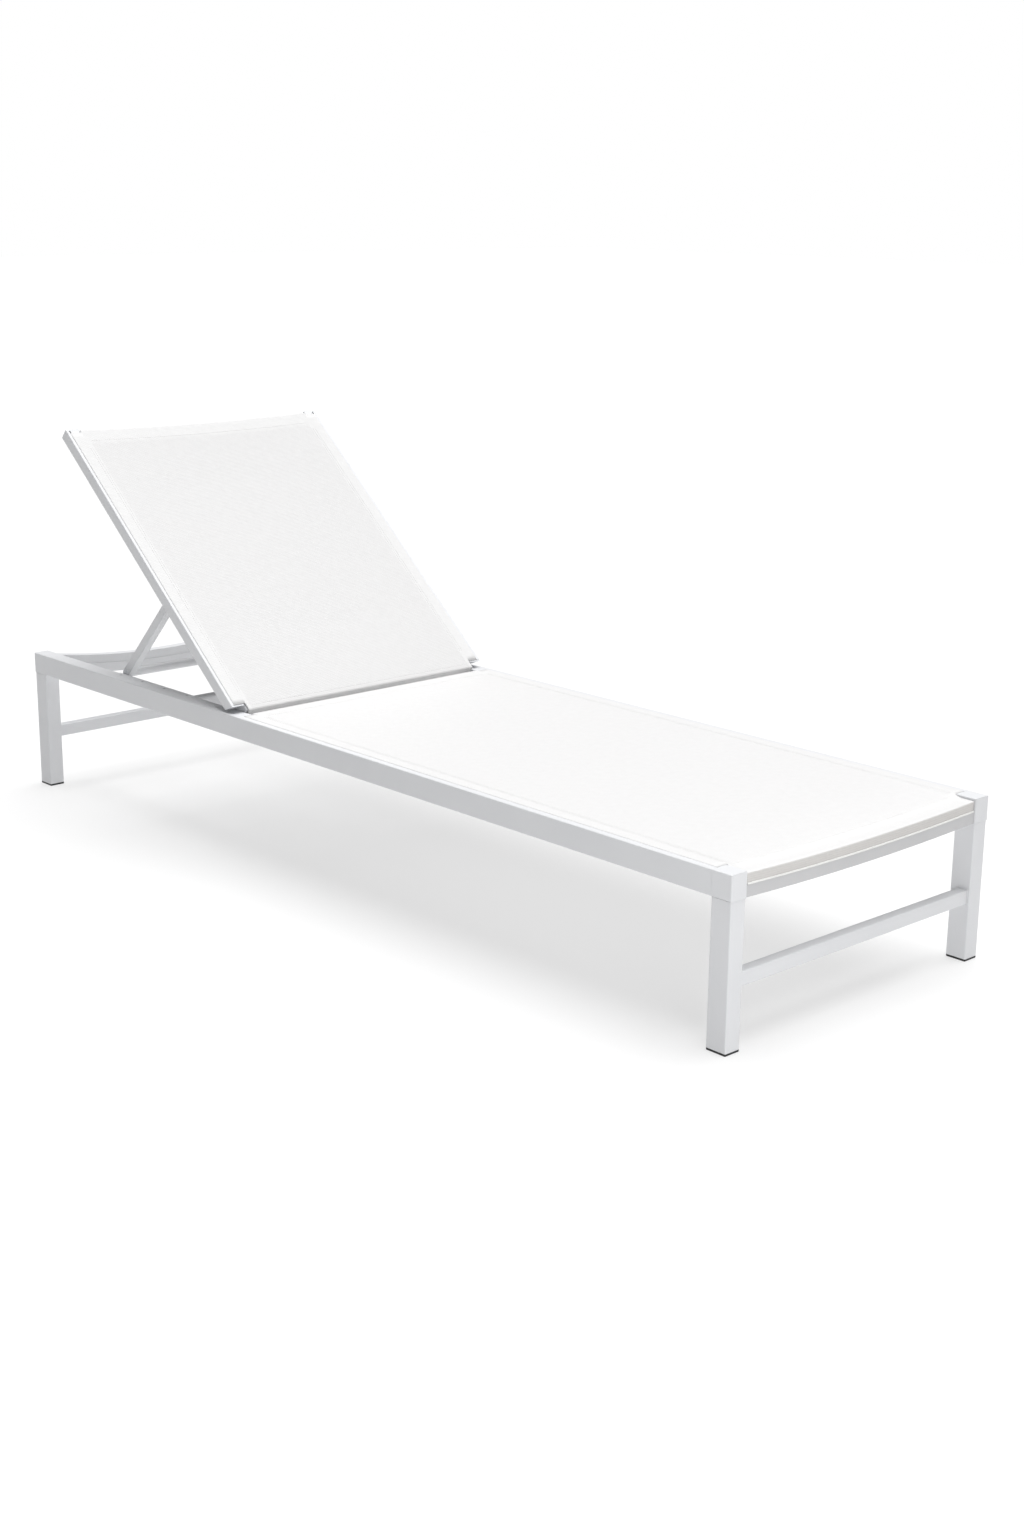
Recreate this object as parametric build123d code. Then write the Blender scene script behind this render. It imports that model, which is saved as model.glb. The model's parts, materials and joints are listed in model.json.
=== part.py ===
from build123d import *
import os
from math import asin, cos, degrees, radians, sin, sqrt

# Reclining sun lounger: welded aluminium frame, hinged backrest, swinging prop with notched racks.
# Millimetres. X runs from the head end (-) to the foot end (+), Y across, +Z up, floor at Z = 0.
# The user lies with the head at -X, so the user's left side is +Y.

# ---- driving dimensions -------------------------------------------------------------------
LENGTH = 2000.0            # overall length of the base frame
WIDTH = 650.0              # overall width of the base frame
RAIL_TOP = 291.0           # height of the rails' top face

RAIL_W = 35.0              # side rail section, across
RAIL_H = 43.0              # side rail section, height
WALL = 2.0                 # tube wall
TOP_WALL = 3.0             # thicker wall under the grooved face of rails and back tubes
EDGE_R = 2.2               # rounded long edges of the tubes

LEG_X = 40.0               # leg section along the lounger
LEG_Y = 33.0               # leg section across
LEG_INSET = 1.0            # the leg stands back this far from the corner block's outer faces
BLOCK_X = 41.0             # corner block length
SPIGOT = 24.0              # how far a block's spigots reach into the tubes
SPIGOT_GAP = 0.1           # clearance between a spigot and its tube
CAST_G = WALL + SPIGOT_GAP  # a spigot's or plug's face stands this far inside the tube's outer face
GLIDE_H = 4.0              # visible height of a leg's glide
GLIDE_PLUG = 14.0          # how far the glide's plug reaches up the leg
GLIDE_EDGE = 0.8           # chamfer round the glide's sole

STRETCHER_X = 21.0
STRETCHER_H = 25.0
STRETCHER_TOP = 128.0
STRETCHER_INSET = 5.0      # from the leg's end face

BAR_X = 26.0               # end crossbar depth
BAR_H = 38.0               # end crossbar height
BAR_INSET = 3.0            # end crossbar's outer face from the end of the frame
BAR_DROP = 5.0             # end crossbar top below the rail top, at its ends
BAR_LIP = 18.0             # hem seat: the upper part of the bar's face, down to the lip
BAR_LIP_DEPTH = 1.6        # the hem seat stands back this far
FOOT_BOW = 6.5             # downward bow of the foot crossbar at the middle
HEAD_BOW = 25.0            # downward bow of the head crossbar at the middle

SLING_T = 1.5              # sling fabric thickness
SLING_GAP = 0.5            # seat sling clear of the corner blocks
GROOVE_Y = 311.0           # sling groove centreline, from the middle of the lounger
GROOVE_R = 3.1             # groove bore radius
GROOVE_SLOT = 2.8          # groove mouth width
GROOVE_DEPTH = 6.5         # groove bore centre below the face
GROOVE_BAND = 12.0         # thickness of the solid band that holds the groove
GROOVE_HALF = 7.0          # half width of that band
GROOVE_START = 22.0        # the rails' groove opens this far from the seat's rear edge
SPLINE_R = 3.0             # keder rod radius
SPLINE_START = 45.0        # the keder rod starts this far from the seat's rear edge

# backrest hinge and the pose it is drawn in
PIVOT_X = -303.5
PIVOT_Z = RAIL_TOP - 14.0
BACK_ANGLE = 40.3          # backrest angle above flat, as drawn
BACK_HALF_W = WIDTH / 2 - 6.0
TUBE_Y = 30.0              # backrest side tube, across
TUBE_T = 24.0              # backrest side tube, thickness
TUBE_N = 14.5              # underside of the tubes above the hinge axis, with the back flat
TUBE_END_TOP = 735.0       # the tube's upper end, along the back from the hinge
TUBE_END_LOW = 10.0        # lower end at the underside
TUBE_END_FACE = -2.0       # lower end at the top face
TUBE_SPARE = 40.0          # raw length beyond the hinge, cut off at the slant
CAP_T = 3.0                # end cap thickness
BOTTOM_BAR_S = -15.5       # lower edge of the back's bottom bar, along the back from the hinge
BACK_BAR_W = 25.0          # back bars, along the back
BOTTOM_BAR_ROUND = 3.0
TOP_BAR_S = TUBE_END_TOP - CAP_T - 2.0  # upper edge of the back's top bar
TOP_BAR_BOW = 6.5          # the top bar's edge dips this far at the middle
BACK_SPLINE_START = 20.0   # keder rods, from the tubes' lower end
BACK_SPLINE_SHORT = 3.0    # and short of the top bar's edge
SLING_SHORT = 4.0          # back fabric over the tubes, from their lower caps
SLING_TOP_SHORT = 2.0      # fabric short of the top bar's edge
SLING_LOW_SHORT = 1.0      # and of the bottom bar's edge
LUG_T = 5.0
LUG_EYE_R = 12.5
LUG_REACH = 66.0           # how far the lug's web runs up the tube
LUG_BELOW_FACE = 3.0       # the web stops this far under the tube's top face
LUG_OVER_BASE = 2.0        # its far end starts this far over the tube's underside

BOLT_R = 4.0               # hinge bolt shank
BOLT_RUN = 0.05            # running radial clearance of a bolt in its bush
BUSH_WALL = 1.5
BUSH_R = BOLT_R + BOLT_RUN + BUSH_WALL
WASHER_T = 0.7
WASHER_R = 9.0
HEAD_GAP = 0.4             # gap under a bolt's head
BOLT_HEAD_R = 7.0
BOLT_HEAD_T = 4.0
BOLT_HEAD_ROUND = 1.8
HEX_R = 2.5                # hexagon socket, centre to corner
HEX_DEPTH = 2.4
INSERT_WALL = 1.5          # threaded insert around the bolt
INSERT_REACH = 6.0         # insert beyond the rail's inner wall
INSERT_FLANGE = 4.0        # its flange around the bolt

# prop (U-shaped strut) that holds the back up
PROP_S = 296.6             # prop hinge along the back
PROP_N = 25.0              # prop hinge above the main hinge axis, with the back flat
PROP_FOOT_Z = RAIL_TOP + 2.0
PROP_FOOT_X = -700.0
PROP_W = 18.0              # arm depth
PROP_Y = 16.0              # arm width, across
PROP_OUT_Y = 286.0         # arm outer face
PROP_BOLT_R = 3.0
PROP_BUSH_R = PROP_BOLT_R + BOLT_RUN + BUSH_WALL
PROP_HEAD_R = 6.0
PROP_HEAD_T = 3.4
PROP_HEAD_ROUND = 1.5
PROP_HEX_R = 2.0
PROP_WASHER_R = 8.0
FOOT_TUBE_R = 9.0
FOOT_TUBE_WALL = 1.5
FOOT_SPIGOT_R = FOOT_TUBE_R - 1.5   # the tube's turned-down ends, inside the arms
FOOT_BORE_R = FOOT_SPIGOT_R - FOOT_TUBE_WALL
FOOT_CAP_R = FOOT_TUBE_R - 0.5
FOOT_CAP_Y = 287.3         # outer face of the foot tube's caps
FOOT_CAP_PLUG = 12.0

RACK_IN_Y = 278.0          # inner face of the notched bar
FOOT_ROOM = 0.5            # the foot tube passes this far over the teeth
RACK_TEETH_TOP = PROP_FOOT_Z - FOOT_TUBE_R - FOOT_ROOM
RACK_H = 24.0
RACK_X0 = -718.0
RACK_X1 = -440.0
RACK_LAP = 2.0             # upright web between the notched bar and the flange
RACK_FLANGE = 15.0         # flange width over the rail
RACK_FLANGE_T = 1.4
NOTCH_DEPTH = 7.0
NOTCH_GAP = 0.5            # radial room for the foot tube in a notch
NOTCH_ANGLES = (40.3, 47.5, 54.5, 61.5)
RACK_SCREWS = 4            # screws per rack
RACK_SCREW_END = 20.0      # first and last screw from the flange's ends
RACK_SCREW_IN = 6.0        # screw line from the flange's outer edge
SCREW_R = 1.7
SCREW_HEAD_R = 3.0
SCREW_HEAD_T = 1.2         # countersunk, flush with the flange
SCREW_LENGTH = 7.0

MID_BAR_X1 = -462.0        # the tie bar behind the hinge: its foot-side face
MID_BAR_W = 25.0
MID_BAR_TOP = 282.0
REAR_BAR_GAP = 45.0        # seat's rear edge from the hinge axis: just outside the back's sweep
REAR_BAR_W = 24.0
REAR_BAR_H = 28.0
TIE_ROUND = 4.0            # rounded edges of the straight tie bars

HALF_L = LENGTH / 2
HALF_W = WIDTH / 2
RAIL_IN = HALF_W - RAIL_W
RAIL_BOTTOM = RAIL_TOP - RAIL_H
BLOCK_IN = HALF_L - BLOCK_X
TUBE_IN = BACK_HALF_W - TUBE_Y
TUBE_TOP_N = TUBE_N + TUBE_T
SEAT_REAR = PIVOT_X + REAR_BAR_GAP
LEG_END = HALF_L - LEG_INSET       # outer faces of a leg
LEG_SIDE = HALF_W - LEG_INSET
RACK_SCREW_Y = RAIL_IN + RACK_FLANGE - RACK_SCREW_IN
RACK_BAR_END = MID_BAR_X1 - MID_BAR_W - 4.0   # the notched bars stop short of the tie bar

parts = {}


# ---- helpers ------------------------------------------------------------------------------
def block(x0, x1, y0, y1, z0, z1):
    """A box between two corners."""
    size = Box(abs(x1 - x0), abs(y1 - y0), abs(z1 - z0))
    return Pos((x0 + x1) / 2, (y0 + y1) / 2, (z0 + z1) / 2) * size


def rounded(solid, axis, radius=EDGE_R):
    """Round the edges that run along one axis."""
    return fillet(solid.edges().filter_by(axis), radius)


def rod(radius, length, x, y, z, axis="Y"):
    """A round bar centred on a point."""
    turn = {"X": Rot(0, 90, 0), "Y": Rot(90, 0, 0), "Z": Rot(0, 0, 0)}[axis]
    return Pos(x, y, z) * turn * Cylinder(radius, length)


def other_side(solid):
    """The same piece on the user's right side."""
    return mirror(solid, about=Plane.XZ)


def turned(solid, x, z, angle):
    """Turn a piece about a cross axis through (x, z)."""
    return Pos(x, 0, z) * Rot(0, angle, 0) * Pos(-x, 0, -z) * solid


def reclined(solid):
    """Bring a back piece from flat to the angle it is drawn at."""
    return turned(solid, PIVOT_X, PIVOT_Z, BACK_ANGLE)


def back_block(s0, s1, y0, y1, n0, n1):
    """A box in the back's own measures: s up the back from the hinge, n above the hinge axis."""
    return block(PIVOT_X - s1, PIVOT_X - s0, y0, y1, PIVOT_Z + n0, PIVOT_Z + n1)


def add_pair(name, solid):
    """Register a left piece and its mirrored right piece."""
    parts[name + "_left"] = solid
    parts[name + "_right"] = other_side(solid)


def bowed_bar(half, z_top, height, bow, x0, x1):
    """A bar across the lounger whose top and underside dip in the middle."""
    z_low = z_top - height
    with BuildPart() as bar:
        with BuildSketch(Plane.YZ.offset(x0)):
            with BuildLine():
                ThreePointArc((-half, z_top), (0, z_top - bow), (half, z_top))
                Line((half, z_top), (half, z_low))
                ThreePointArc((half, z_low), (0, z_low - bow), (-half, z_low))
                Line((-half, z_low), (-half, z_top))
            make_face()
        extrude(amount=x1 - x0)
    return bar.part


# ---- base frame ---------------------------------------------------------------------------
def groove_cut(x0, x1, z_face):
    """The sling groove: a bore under the face with a narrow mouth."""
    mid = (x0 + x1) / 2
    z_bore = z_face - GROOVE_DEPTH
    bore = rod(GROOVE_R, x1 - x0, mid, GROOVE_Y, z_bore, "X")
    half = GROOVE_SLOT / 2
    return bore + block(x0, x1, GROOVE_Y - half, GROOVE_Y + half, z_bore, z_face + 1)


def tube_cavity(x0, x1, y_in, y_out, z0, z1):
    """The hollow of a tube that leaves a solid band for the groove under its top face."""
    below = block(x0, x1, y_in + WALL, y_out - WALL, z0 + WALL, z1 - GROOVE_BAND)
    inner = block(x0, x1, y_in + WALL, GROOVE_Y - GROOVE_HALF, z0 + WALL, z1 - TOP_WALL)
    return below + inner


def side_rail():
    """Hollow side rail with the sling groove, the rack's recess and the hinge insert's hole."""
    rail = rounded(block(-BLOCK_IN, BLOCK_IN, RAIL_IN, HALF_W, RAIL_BOTTOM, RAIL_TOP), Axis.X)
    rail -= tube_cavity(-BLOCK_IN, BLOCK_IN, RAIL_IN, HALF_W, RAIL_BOTTOM, RAIL_TOP)
    rail -= groove_cut(SEAT_REAR + GROOVE_START, BLOCK_IN, RAIL_TOP)
    flange_out = RAIL_IN + RACK_FLANGE
    rail -= block(RACK_X0, RACK_X1, RAIL_IN - 1, flange_out, RAIL_TOP - RACK_FLANGE_T, RAIL_TOP + 1)
    rail -= rod(BOLT_R + INSERT_WALL, 4 * WALL, PIVOT_X, RAIL_IN, PIVOT_Z)
    for x in rack_screw_places():
        rail -= rod(SCREW_R, 2 * SCREW_LENGTH, x, RACK_SCREW_Y, RAIL_TOP, "Z")
    return rail


def corner_block():
    """Cast corner at the foot end's left, with spigots into the rail and down the leg."""
    body = block(BLOCK_IN, HALF_L, RAIL_IN, HALF_W, RAIL_BOTTOM, RAIL_TOP)
    outer_corners = body.edges().filter_by(Axis.Z).sort_by(Axis.X)[-2:]
    body = fillet(body.edges().filter_by(Axis.X) + outer_corners, EDGE_R)
    rail_spigot = block(BLOCK_IN - SPIGOT, BLOCK_IN, RAIL_IN + CAST_G, HALF_W - CAST_G,
                        RAIL_BOTTOM + CAST_G, RAIL_TOP - GROOVE_BAND - SPIGOT_GAP)
    return body + rail_spigot + leg_filling(CAST_G, RAIL_BOTTOM - SPIGOT, RAIL_BOTTOM)


def leg_filling(inside, z0, z1):
    """A box that stands a distance inside the leg's four faces."""
    return block(LEG_END - LEG_X + inside, LEG_END - inside,
                 LEG_SIDE - LEG_Y + inside, LEG_SIDE - inside, z0, z1)


def leg():
    """Square hollow leg at the foot end's left."""
    tube = rounded(leg_filling(0, GLIDE_H, RAIL_BOTTOM), Axis.Z)
    return tube - leg_filling(WALL, GLIDE_H, RAIL_BOTTOM)


def leg_glide():
    """Plastic foot whose plug fills the leg's lower end."""
    foot = rounded(leg_filling(0, 0, GLIDE_H), Axis.Z)
    foot = chamfer(foot.edges().group_by(Axis.Z)[0], GLIDE_EDGE)
    return foot + leg_filling(CAST_G, GLIDE_H, GLIDE_H + GLIDE_PLUG)


def four_corners(name, solid):
    """One piece at each corner, named by end and side."""
    for end, flip in (("foot", False), ("head", True)):
        here = mirror(solid, about=Plane.YZ) if flip else solid
        add_pair(name + "_" + end, here)


def stretcher():
    """Hollow rail between the foot end's legs."""
    x1 = LEG_END - STRETCHER_INSET
    x0 = x1 - STRETCHER_X
    y = LEG_SIDE - LEG_Y
    z0 = STRETCHER_TOP - STRETCHER_H
    bar = rounded(block(x0, x1, -y, y, z0, STRETCHER_TOP), Axis.Y)
    return bar - block(x0 + WALL, x1 - WALL, -y, y, z0 + WALL, STRETCHER_TOP - WALL)


def end_crossbar(bow, both_faces):
    """Bowed end bar at the foot end, with a hem seat above a lip on its outer face."""
    x1 = HALF_L - BAR_INSET
    x0 = x1 - BAR_X
    top = RAIL_TOP - BAR_DROP
    bar = bowed_bar(RAIL_IN, top, BAR_H, bow, x0, x1)
    bar -= bowed_bar(RAIL_IN, top, BAR_LIP, bow, x1 - BAR_LIP_DEPTH, x1)
    if both_faces:
        bar -= bowed_bar(RAIL_IN, top, BAR_LIP, bow, x0, x0 + BAR_LIP_DEPTH)
    wall = WALL + BAR_LIP_DEPTH
    return bar - bowed_bar(RAIL_IN, top - WALL, BAR_H - 2 * WALL, bow, x0 + wall, x1 - wall)


def straight_bar(x0, width, top, height):
    """A plain hollow tie between the rails."""
    x1 = x0 + width
    z0 = top - height
    bar = rounded(block(x0, x1, -RAIL_IN, RAIL_IN, z0, top), Axis.Y, TIE_ROUND)
    return bar - block(x0 + WALL, x1 - WALL, -RAIL_IN, RAIL_IN, z0 + WALL, top - WALL)


def seat_sling():
    """Taut seat fabric over the inner part of the rails, cut back between the corner blocks."""
    z1 = RAIL_TOP + SLING_T
    cut_x = BLOCK_IN - SLING_GAP
    cut_y = RAIL_IN - 2 * SLING_GAP
    seat = block(SEAT_REAR, cut_x, -GROOVE_Y, GROOVE_Y, RAIL_TOP, z1)
    return seat + block(cut_x, HALF_L - BAR_INSET, -cut_y, cut_y, RAIL_TOP, z1)


def seat_spline():
    """Keder rod that holds the seat fabric in a rail's groove."""
    x0 = SEAT_REAR + SPLINE_START
    x1 = BLOCK_IN - 2
    return rod(SPLINE_R, x1 - x0, (x0 + x1) / 2, GROOVE_Y, RAIL_TOP - GROOVE_DEPTH, "X")


# ---- backrest -----------------------------------------------------------------------------
def back_side_tube():
    """Side tube of the back, its lower end cut at a slant so that it swings clear of the rail."""
    top_s = TUBE_END_TOP - CAP_T
    tube = rounded(back_block(-TUBE_SPARE, top_s, TUBE_IN, BACK_HALF_W, TUBE_N, TUBE_TOP_N), Axis.X)
    x0 = PIVOT_X - TUBE_END_TOP
    x1 = PIVOT_X + TUBE_SPARE
    tube -= tube_cavity(x0, x1, TUBE_IN, BACK_HALF_W, PIVOT_Z + TUBE_N, PIVOT_Z + TUBE_TOP_N)
    tube -= groove_cut(x0, x1, PIVOT_Z + TUBE_TOP_N)
    tube -= rod(PROP_BOLT_R, 4 * WALL, PIVOT_X - PROP_S, TUBE_IN, PIVOT_Z + PROP_N)
    return tube - beyond_slant(CAP_T)


def beyond_slant(shift):
    """Everything past the slanted lower end of a side tube, moved up the tube by shift."""
    past = 10.0
    low_x = PIVOT_X - TUBE_END_LOW - shift
    high_x = PIVOT_X - TUBE_END_FACE - shift
    lean = (high_x - low_x) / TUBE_T * past
    low = (low_x - lean, PIVOT_Z + TUBE_N - past)
    high = (high_x + lean, PIVOT_Z + TUBE_TOP_N + past)
    reach = 2 * TUBE_SPARE + past
    with BuildPart() as wedge:
        with BuildSketch(Plane.XZ.offset(past - TUBE_IN)):
            with BuildLine():
                Polyline(low, high, (high[0] + reach, high[1]), (low[0] + reach, low[1]), close=True)
            make_face()
        extrude(amount=-TUBE_Y - 2 * past)
    return wedge.part


def slant_cap():
    """Plastic cap that closes a side tube's slanted lower end."""
    slab = back_block(-TUBE_SPARE, TUBE_SPARE, TUBE_IN, BACK_HALF_W, TUBE_N, TUBE_TOP_N)
    return (rounded(slab, Axis.X) & beyond_slant(CAP_T)) - beyond_slant(0)


def top_cap():
    """Plastic cap that closes a side tube's upper end."""
    s0 = TUBE_END_TOP - CAP_T
    return rounded(back_block(s0, TUBE_END_TOP, TUBE_IN, BACK_HALF_W, TUBE_N, TUBE_TOP_N), Axis.X)


def bowed_slab(s_top, width, half, n0, n1):
    """A slab across the back whose upper and lower edges dip towards the hinge in the middle."""
    x0 = PIVOT_X - s_top
    x1 = x0 + width
    with BuildPart() as slab:
        with BuildSketch(Plane.XY.offset(PIVOT_Z + n0)):
            with BuildLine():
                ThreePointArc((x0, -half), (x0 + TOP_BAR_BOW, 0), (x0, half))
                Line((x0, half), (x1, half))
                ThreePointArc((x1, half), (x1 + TOP_BAR_BOW, 0), (x1, -half))
                Line((x1, -half), (x0, -half))
            make_face()
        extrude(amount=n1 - n0)
    return slab.part


def back_top_bar():
    """Bowed hollow bar between the side tubes at the top of the back."""
    n0 = TUBE_N + 1
    bar = bowed_slab(TOP_BAR_S, BACK_BAR_W, TUBE_IN, n0, TUBE_TOP_N)
    hollow_w = BACK_BAR_W - 2 * WALL
    return bar - bowed_slab(TOP_BAR_S - WALL, hollow_w, TUBE_IN, n0 + WALL, TUBE_TOP_N - WALL)


def back_bottom_bar():
    """Bar between the hinge lugs; the back sling's lower hem wraps it."""
    half = TUBE_IN - LUG_T
    s1 = BOTTOM_BAR_S + BACK_BAR_W
    bar = rounded(back_block(BOTTOM_BAR_S, s1, -half, half, TUBE_N, TUBE_TOP_N), Axis.Y, BOTTOM_BAR_ROUND)
    hollow = back_block(BOTTOM_BAR_S + WALL, s1 - WALL, -half, half, TUBE_N + WALL, TUBE_TOP_N - WALL)
    return bar - hollow


def back_sling():
    """Taut back fabric lying on the tubes and the two bars, its upper edge bowed with the bar."""
    n1 = TUBE_TOP_N + SLING_T
    s_wide = TUBE_END_FACE + CAP_T + SLING_SHORT
    s_top = TOP_BAR_S - SLING_TOP_SHORT
    half = TUBE_IN - LUG_T
    wide = back_block(s_wide, s_top - BACK_BAR_W, -GROOVE_Y, GROOVE_Y, TUBE_TOP_N, n1)
    head = bowed_slab(s_top, BACK_BAR_W, GROOVE_Y, TUBE_TOP_N, n1)
    return wide + head + back_block(BOTTOM_BAR_S + SLING_LOW_SHORT, s_wide, -half, half, TUBE_TOP_N, n1)


def back_spline():
    """Keder rod that holds the back fabric in a side tube's groove."""
    s0 = TUBE_END_FACE + BACK_SPLINE_START
    s1 = TOP_BAR_S - BACK_SPLINE_SHORT
    mid = PIVOT_X - (s0 + s1) / 2
    return rod(SPLINE_R, s1 - s0, mid, GROOVE_Y, PIVOT_Z + TUBE_TOP_N - GROOVE_DEPTH, "X")


def hinge_lug():
    """Plate welded inside a back tube that carries the hinge bush below it."""
    y_mid = TUBE_IN - LUG_T / 2
    x_far = PIVOT_X - LUG_REACH
    x_near = PIVOT_X + LUG_EYE_R
    z_top = PIVOT_Z + TUBE_TOP_N - LUG_BELOW_FACE
    z_far = PIVOT_Z + TUBE_N + LUG_OVER_BASE
    with BuildPart() as web:
        with BuildSketch(Plane.XZ.offset(-TUBE_IN)):
            with BuildLine():
                Polyline((x_near, PIVOT_Z), (x_near, z_top), (x_far, z_top),
                         (x_far, z_far), (PIVOT_X - LUG_EYE_R, PIVOT_Z), close=True)
            make_face()
        extrude(amount=LUG_T)
    lug = web.part + rod(LUG_EYE_R, LUG_T, PIVOT_X, y_mid, PIVOT_Z)
    return lug - rod(BUSH_R, LUG_T + 2, PIVOT_X, y_mid, PIVOT_Z)


def bush(outer_r, bore_r, length, x, y, z):
    """A plain bush along Y."""
    return rod(outer_r, length, x, y, z) - rod(bore_r, length + 2, x, y, z)


def hinge_bush():
    return bush(BUSH_R, BOLT_R + BOLT_RUN, LUG_T, PIVOT_X, TUBE_IN - LUG_T / 2, PIVOT_Z)


def button_bolt(shank_r, head_r, head_t, head_round, hex_r, x, y_head, y_end, z):
    """Button-head bolt along +Y, its head's underside at y_head."""
    shank = rod(shank_r, y_end - y_head, x, (y_end + y_head) / 2, z)
    head = rod(head_r, head_t, x, y_head - head_t / 2, z)
    head = fillet(head.edges().filter_by(GeomType.CIRCLE).sort_by(Axis.Y)[0], head_round)
    socket = extrude(RegularPolygon(hex_r, 6), HEX_DEPTH)
    return shank + head - Pos(x, y_head - head_t - 0.01, z) * Rot(-90, 0, 0) * socket


def hinge_bolt():
    """Bolt through the lug, the washer and the rail's inner wall."""
    y_head = TUBE_IN - LUG_T - HEAD_GAP
    y_end = RAIL_IN + WALL + INSERT_REACH
    return button_bolt(BOLT_R, BOLT_HEAD_R, BOLT_HEAD_T, BOLT_HEAD_ROUND, HEX_R,
                       PIVOT_X, y_head, y_end, PIVOT_Z)


def hinge_washer():
    """Nylon washer against the rail, held by the bolt."""
    return bush(WASHER_R, BOLT_R, WASHER_T, PIVOT_X, RAIL_IN - WASHER_T / 2, PIVOT_Z)


def hinge_insert():
    """Threaded insert in the rail's inner wall."""
    length = WALL + INSERT_REACH
    y_mid = RAIL_IN + length / 2
    flange_y = RAIL_IN + WALL + INSERT_WALL / 2
    body = rod(BOLT_R + INSERT_WALL, length, PIVOT_X, y_mid, PIVOT_Z)
    body += rod(BOLT_R + INSERT_FLANGE, INSERT_WALL, PIVOT_X, flange_y, PIVOT_Z)
    return body - rod(BOLT_R, length + 2, PIVOT_X, y_mid, PIVOT_Z)


# ---- prop and racks -----------------------------------------------------------------------
def back_point(s, n, angle=BACK_ANGLE):
    """World X and Z of a point of the back at a recline angle."""
    a = radians(angle)
    return PIVOT_X - s * cos(a) + n * sin(a), PIVOT_Z + s * sin(a) + n * cos(a)


PROP_X, PROP_Z = back_point(PROP_S, PROP_N)
PROP_LENGTH = sqrt((PROP_X - PROP_FOOT_X) ** 2 + (PROP_Z - PROP_FOOT_Z) ** 2)
PROP_SLOPE = degrees(asin((PROP_Z - PROP_FOOT_Z) / PROP_LENGTH))


def notch_place(angle):
    """X of the prop's foot when the back is held at an angle."""
    x, z = back_point(PROP_S, PROP_N, angle)
    return x - sqrt(PROP_LENGTH ** 2 - (z - PROP_FOOT_Z) ** 2)


def propped(solid):
    """Bring a prop piece from level, running towards the head, to its drawn slope."""
    return turned(solid, PROP_X, PROP_Z, -PROP_SLOPE)


def prop_arm():
    """One arm: a flat tube with a bush hole at the top and the foot tube's hole at the bottom."""
    foot_x = PROP_X - PROP_LENGTH
    z0 = PROP_Z - PROP_W / 2
    mid_y = PROP_OUT_Y - PROP_Y / 2
    arm = block(foot_x, PROP_X, PROP_OUT_Y - PROP_Y, PROP_OUT_Y, z0, z0 + PROP_W)
    arm += rod(PROP_W / 2, PROP_Y, PROP_X, mid_y, PROP_Z)
    arm += rod(PROP_W / 2, PROP_Y, foot_x, mid_y, PROP_Z)
    arm -= rod(PROP_BUSH_R, PROP_Y + 2, PROP_X, mid_y, PROP_Z)
    return arm - rod(FOOT_SPIGOT_R, PROP_Y + 2, foot_x, mid_y, PROP_Z)


def prop_foot_tube():
    """Cross tube that joins the arms and drops into the racks' notches."""
    foot_x = PROP_X - PROP_LENGTH
    tube = rod(FOOT_SPIGOT_R, 2 * PROP_OUT_Y, foot_x, 0, PROP_Z)
    tube += rod(FOOT_TUBE_R, 2 * (PROP_OUT_Y - PROP_Y), foot_x, 0, PROP_Z)
    return tube - rod(FOOT_BORE_R, 2 * PROP_OUT_Y + 2, foot_x, 0, PROP_Z)


def prop_foot_cap():
    """Plastic end on the foot tube, the part that sits on the rack."""
    foot_x = PROP_X - PROP_LENGTH
    disc_t = FOOT_CAP_Y - PROP_OUT_Y
    disc = rod(FOOT_CAP_R, disc_t, foot_x, PROP_OUT_Y + disc_t / 2, PROP_Z)
    return disc + rod(FOOT_BORE_R - SPIGOT_GAP, FOOT_CAP_PLUG, foot_x, PROP_OUT_Y - FOOT_CAP_PLUG / 2, PROP_Z)


def prop_bush():
    return bush(PROP_BUSH_R, PROP_BOLT_R + BOLT_RUN, PROP_Y, PROP_X, PROP_OUT_Y - PROP_Y / 2, PROP_Z)


def prop_washer():
    """Nylon washer between the arm and the back tube."""
    y0 = PROP_OUT_Y + HEAD_GAP
    return bush(PROP_WASHER_R, PROP_BOLT_R, TUBE_IN - y0, PROP_X, (y0 + TUBE_IN) / 2, PROP_Z)


def prop_bolt():
    """Bolt through the arm into the back tube's inner wall."""
    y_head = PROP_OUT_Y - PROP_Y - HEAD_GAP
    y_end = TUBE_IN + WALL + INSERT_REACH
    return button_bolt(PROP_BOLT_R, PROP_HEAD_R, PROP_HEAD_T, PROP_HEAD_ROUND, PROP_HEX_R,
                       PROP_X, y_head, y_end, PROP_Z)


def rack_screw_places():
    """X of the screws that hold a rack's flange, spread along it."""
    step = (RACK_X1 - RACK_X0 - 2 * RACK_SCREW_END) / (RACK_SCREWS - 1)
    return [RACK_X0 + RACK_SCREW_END + step * i for i in range(RACK_SCREWS)]


def screw_shape(x):
    """A countersunk screw in the left rack's flange, its head flush with the rail's top."""
    shank = rod(SCREW_R, SCREW_LENGTH, x, RACK_SCREW_Y, RAIL_TOP - SCREW_LENGTH / 2, "Z")
    head = Cone(SCREW_R, SCREW_HEAD_R, SCREW_HEAD_T)
    return shank + Pos(x, RACK_SCREW_Y, RAIL_TOP - SCREW_HEAD_T / 2) * head


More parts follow.
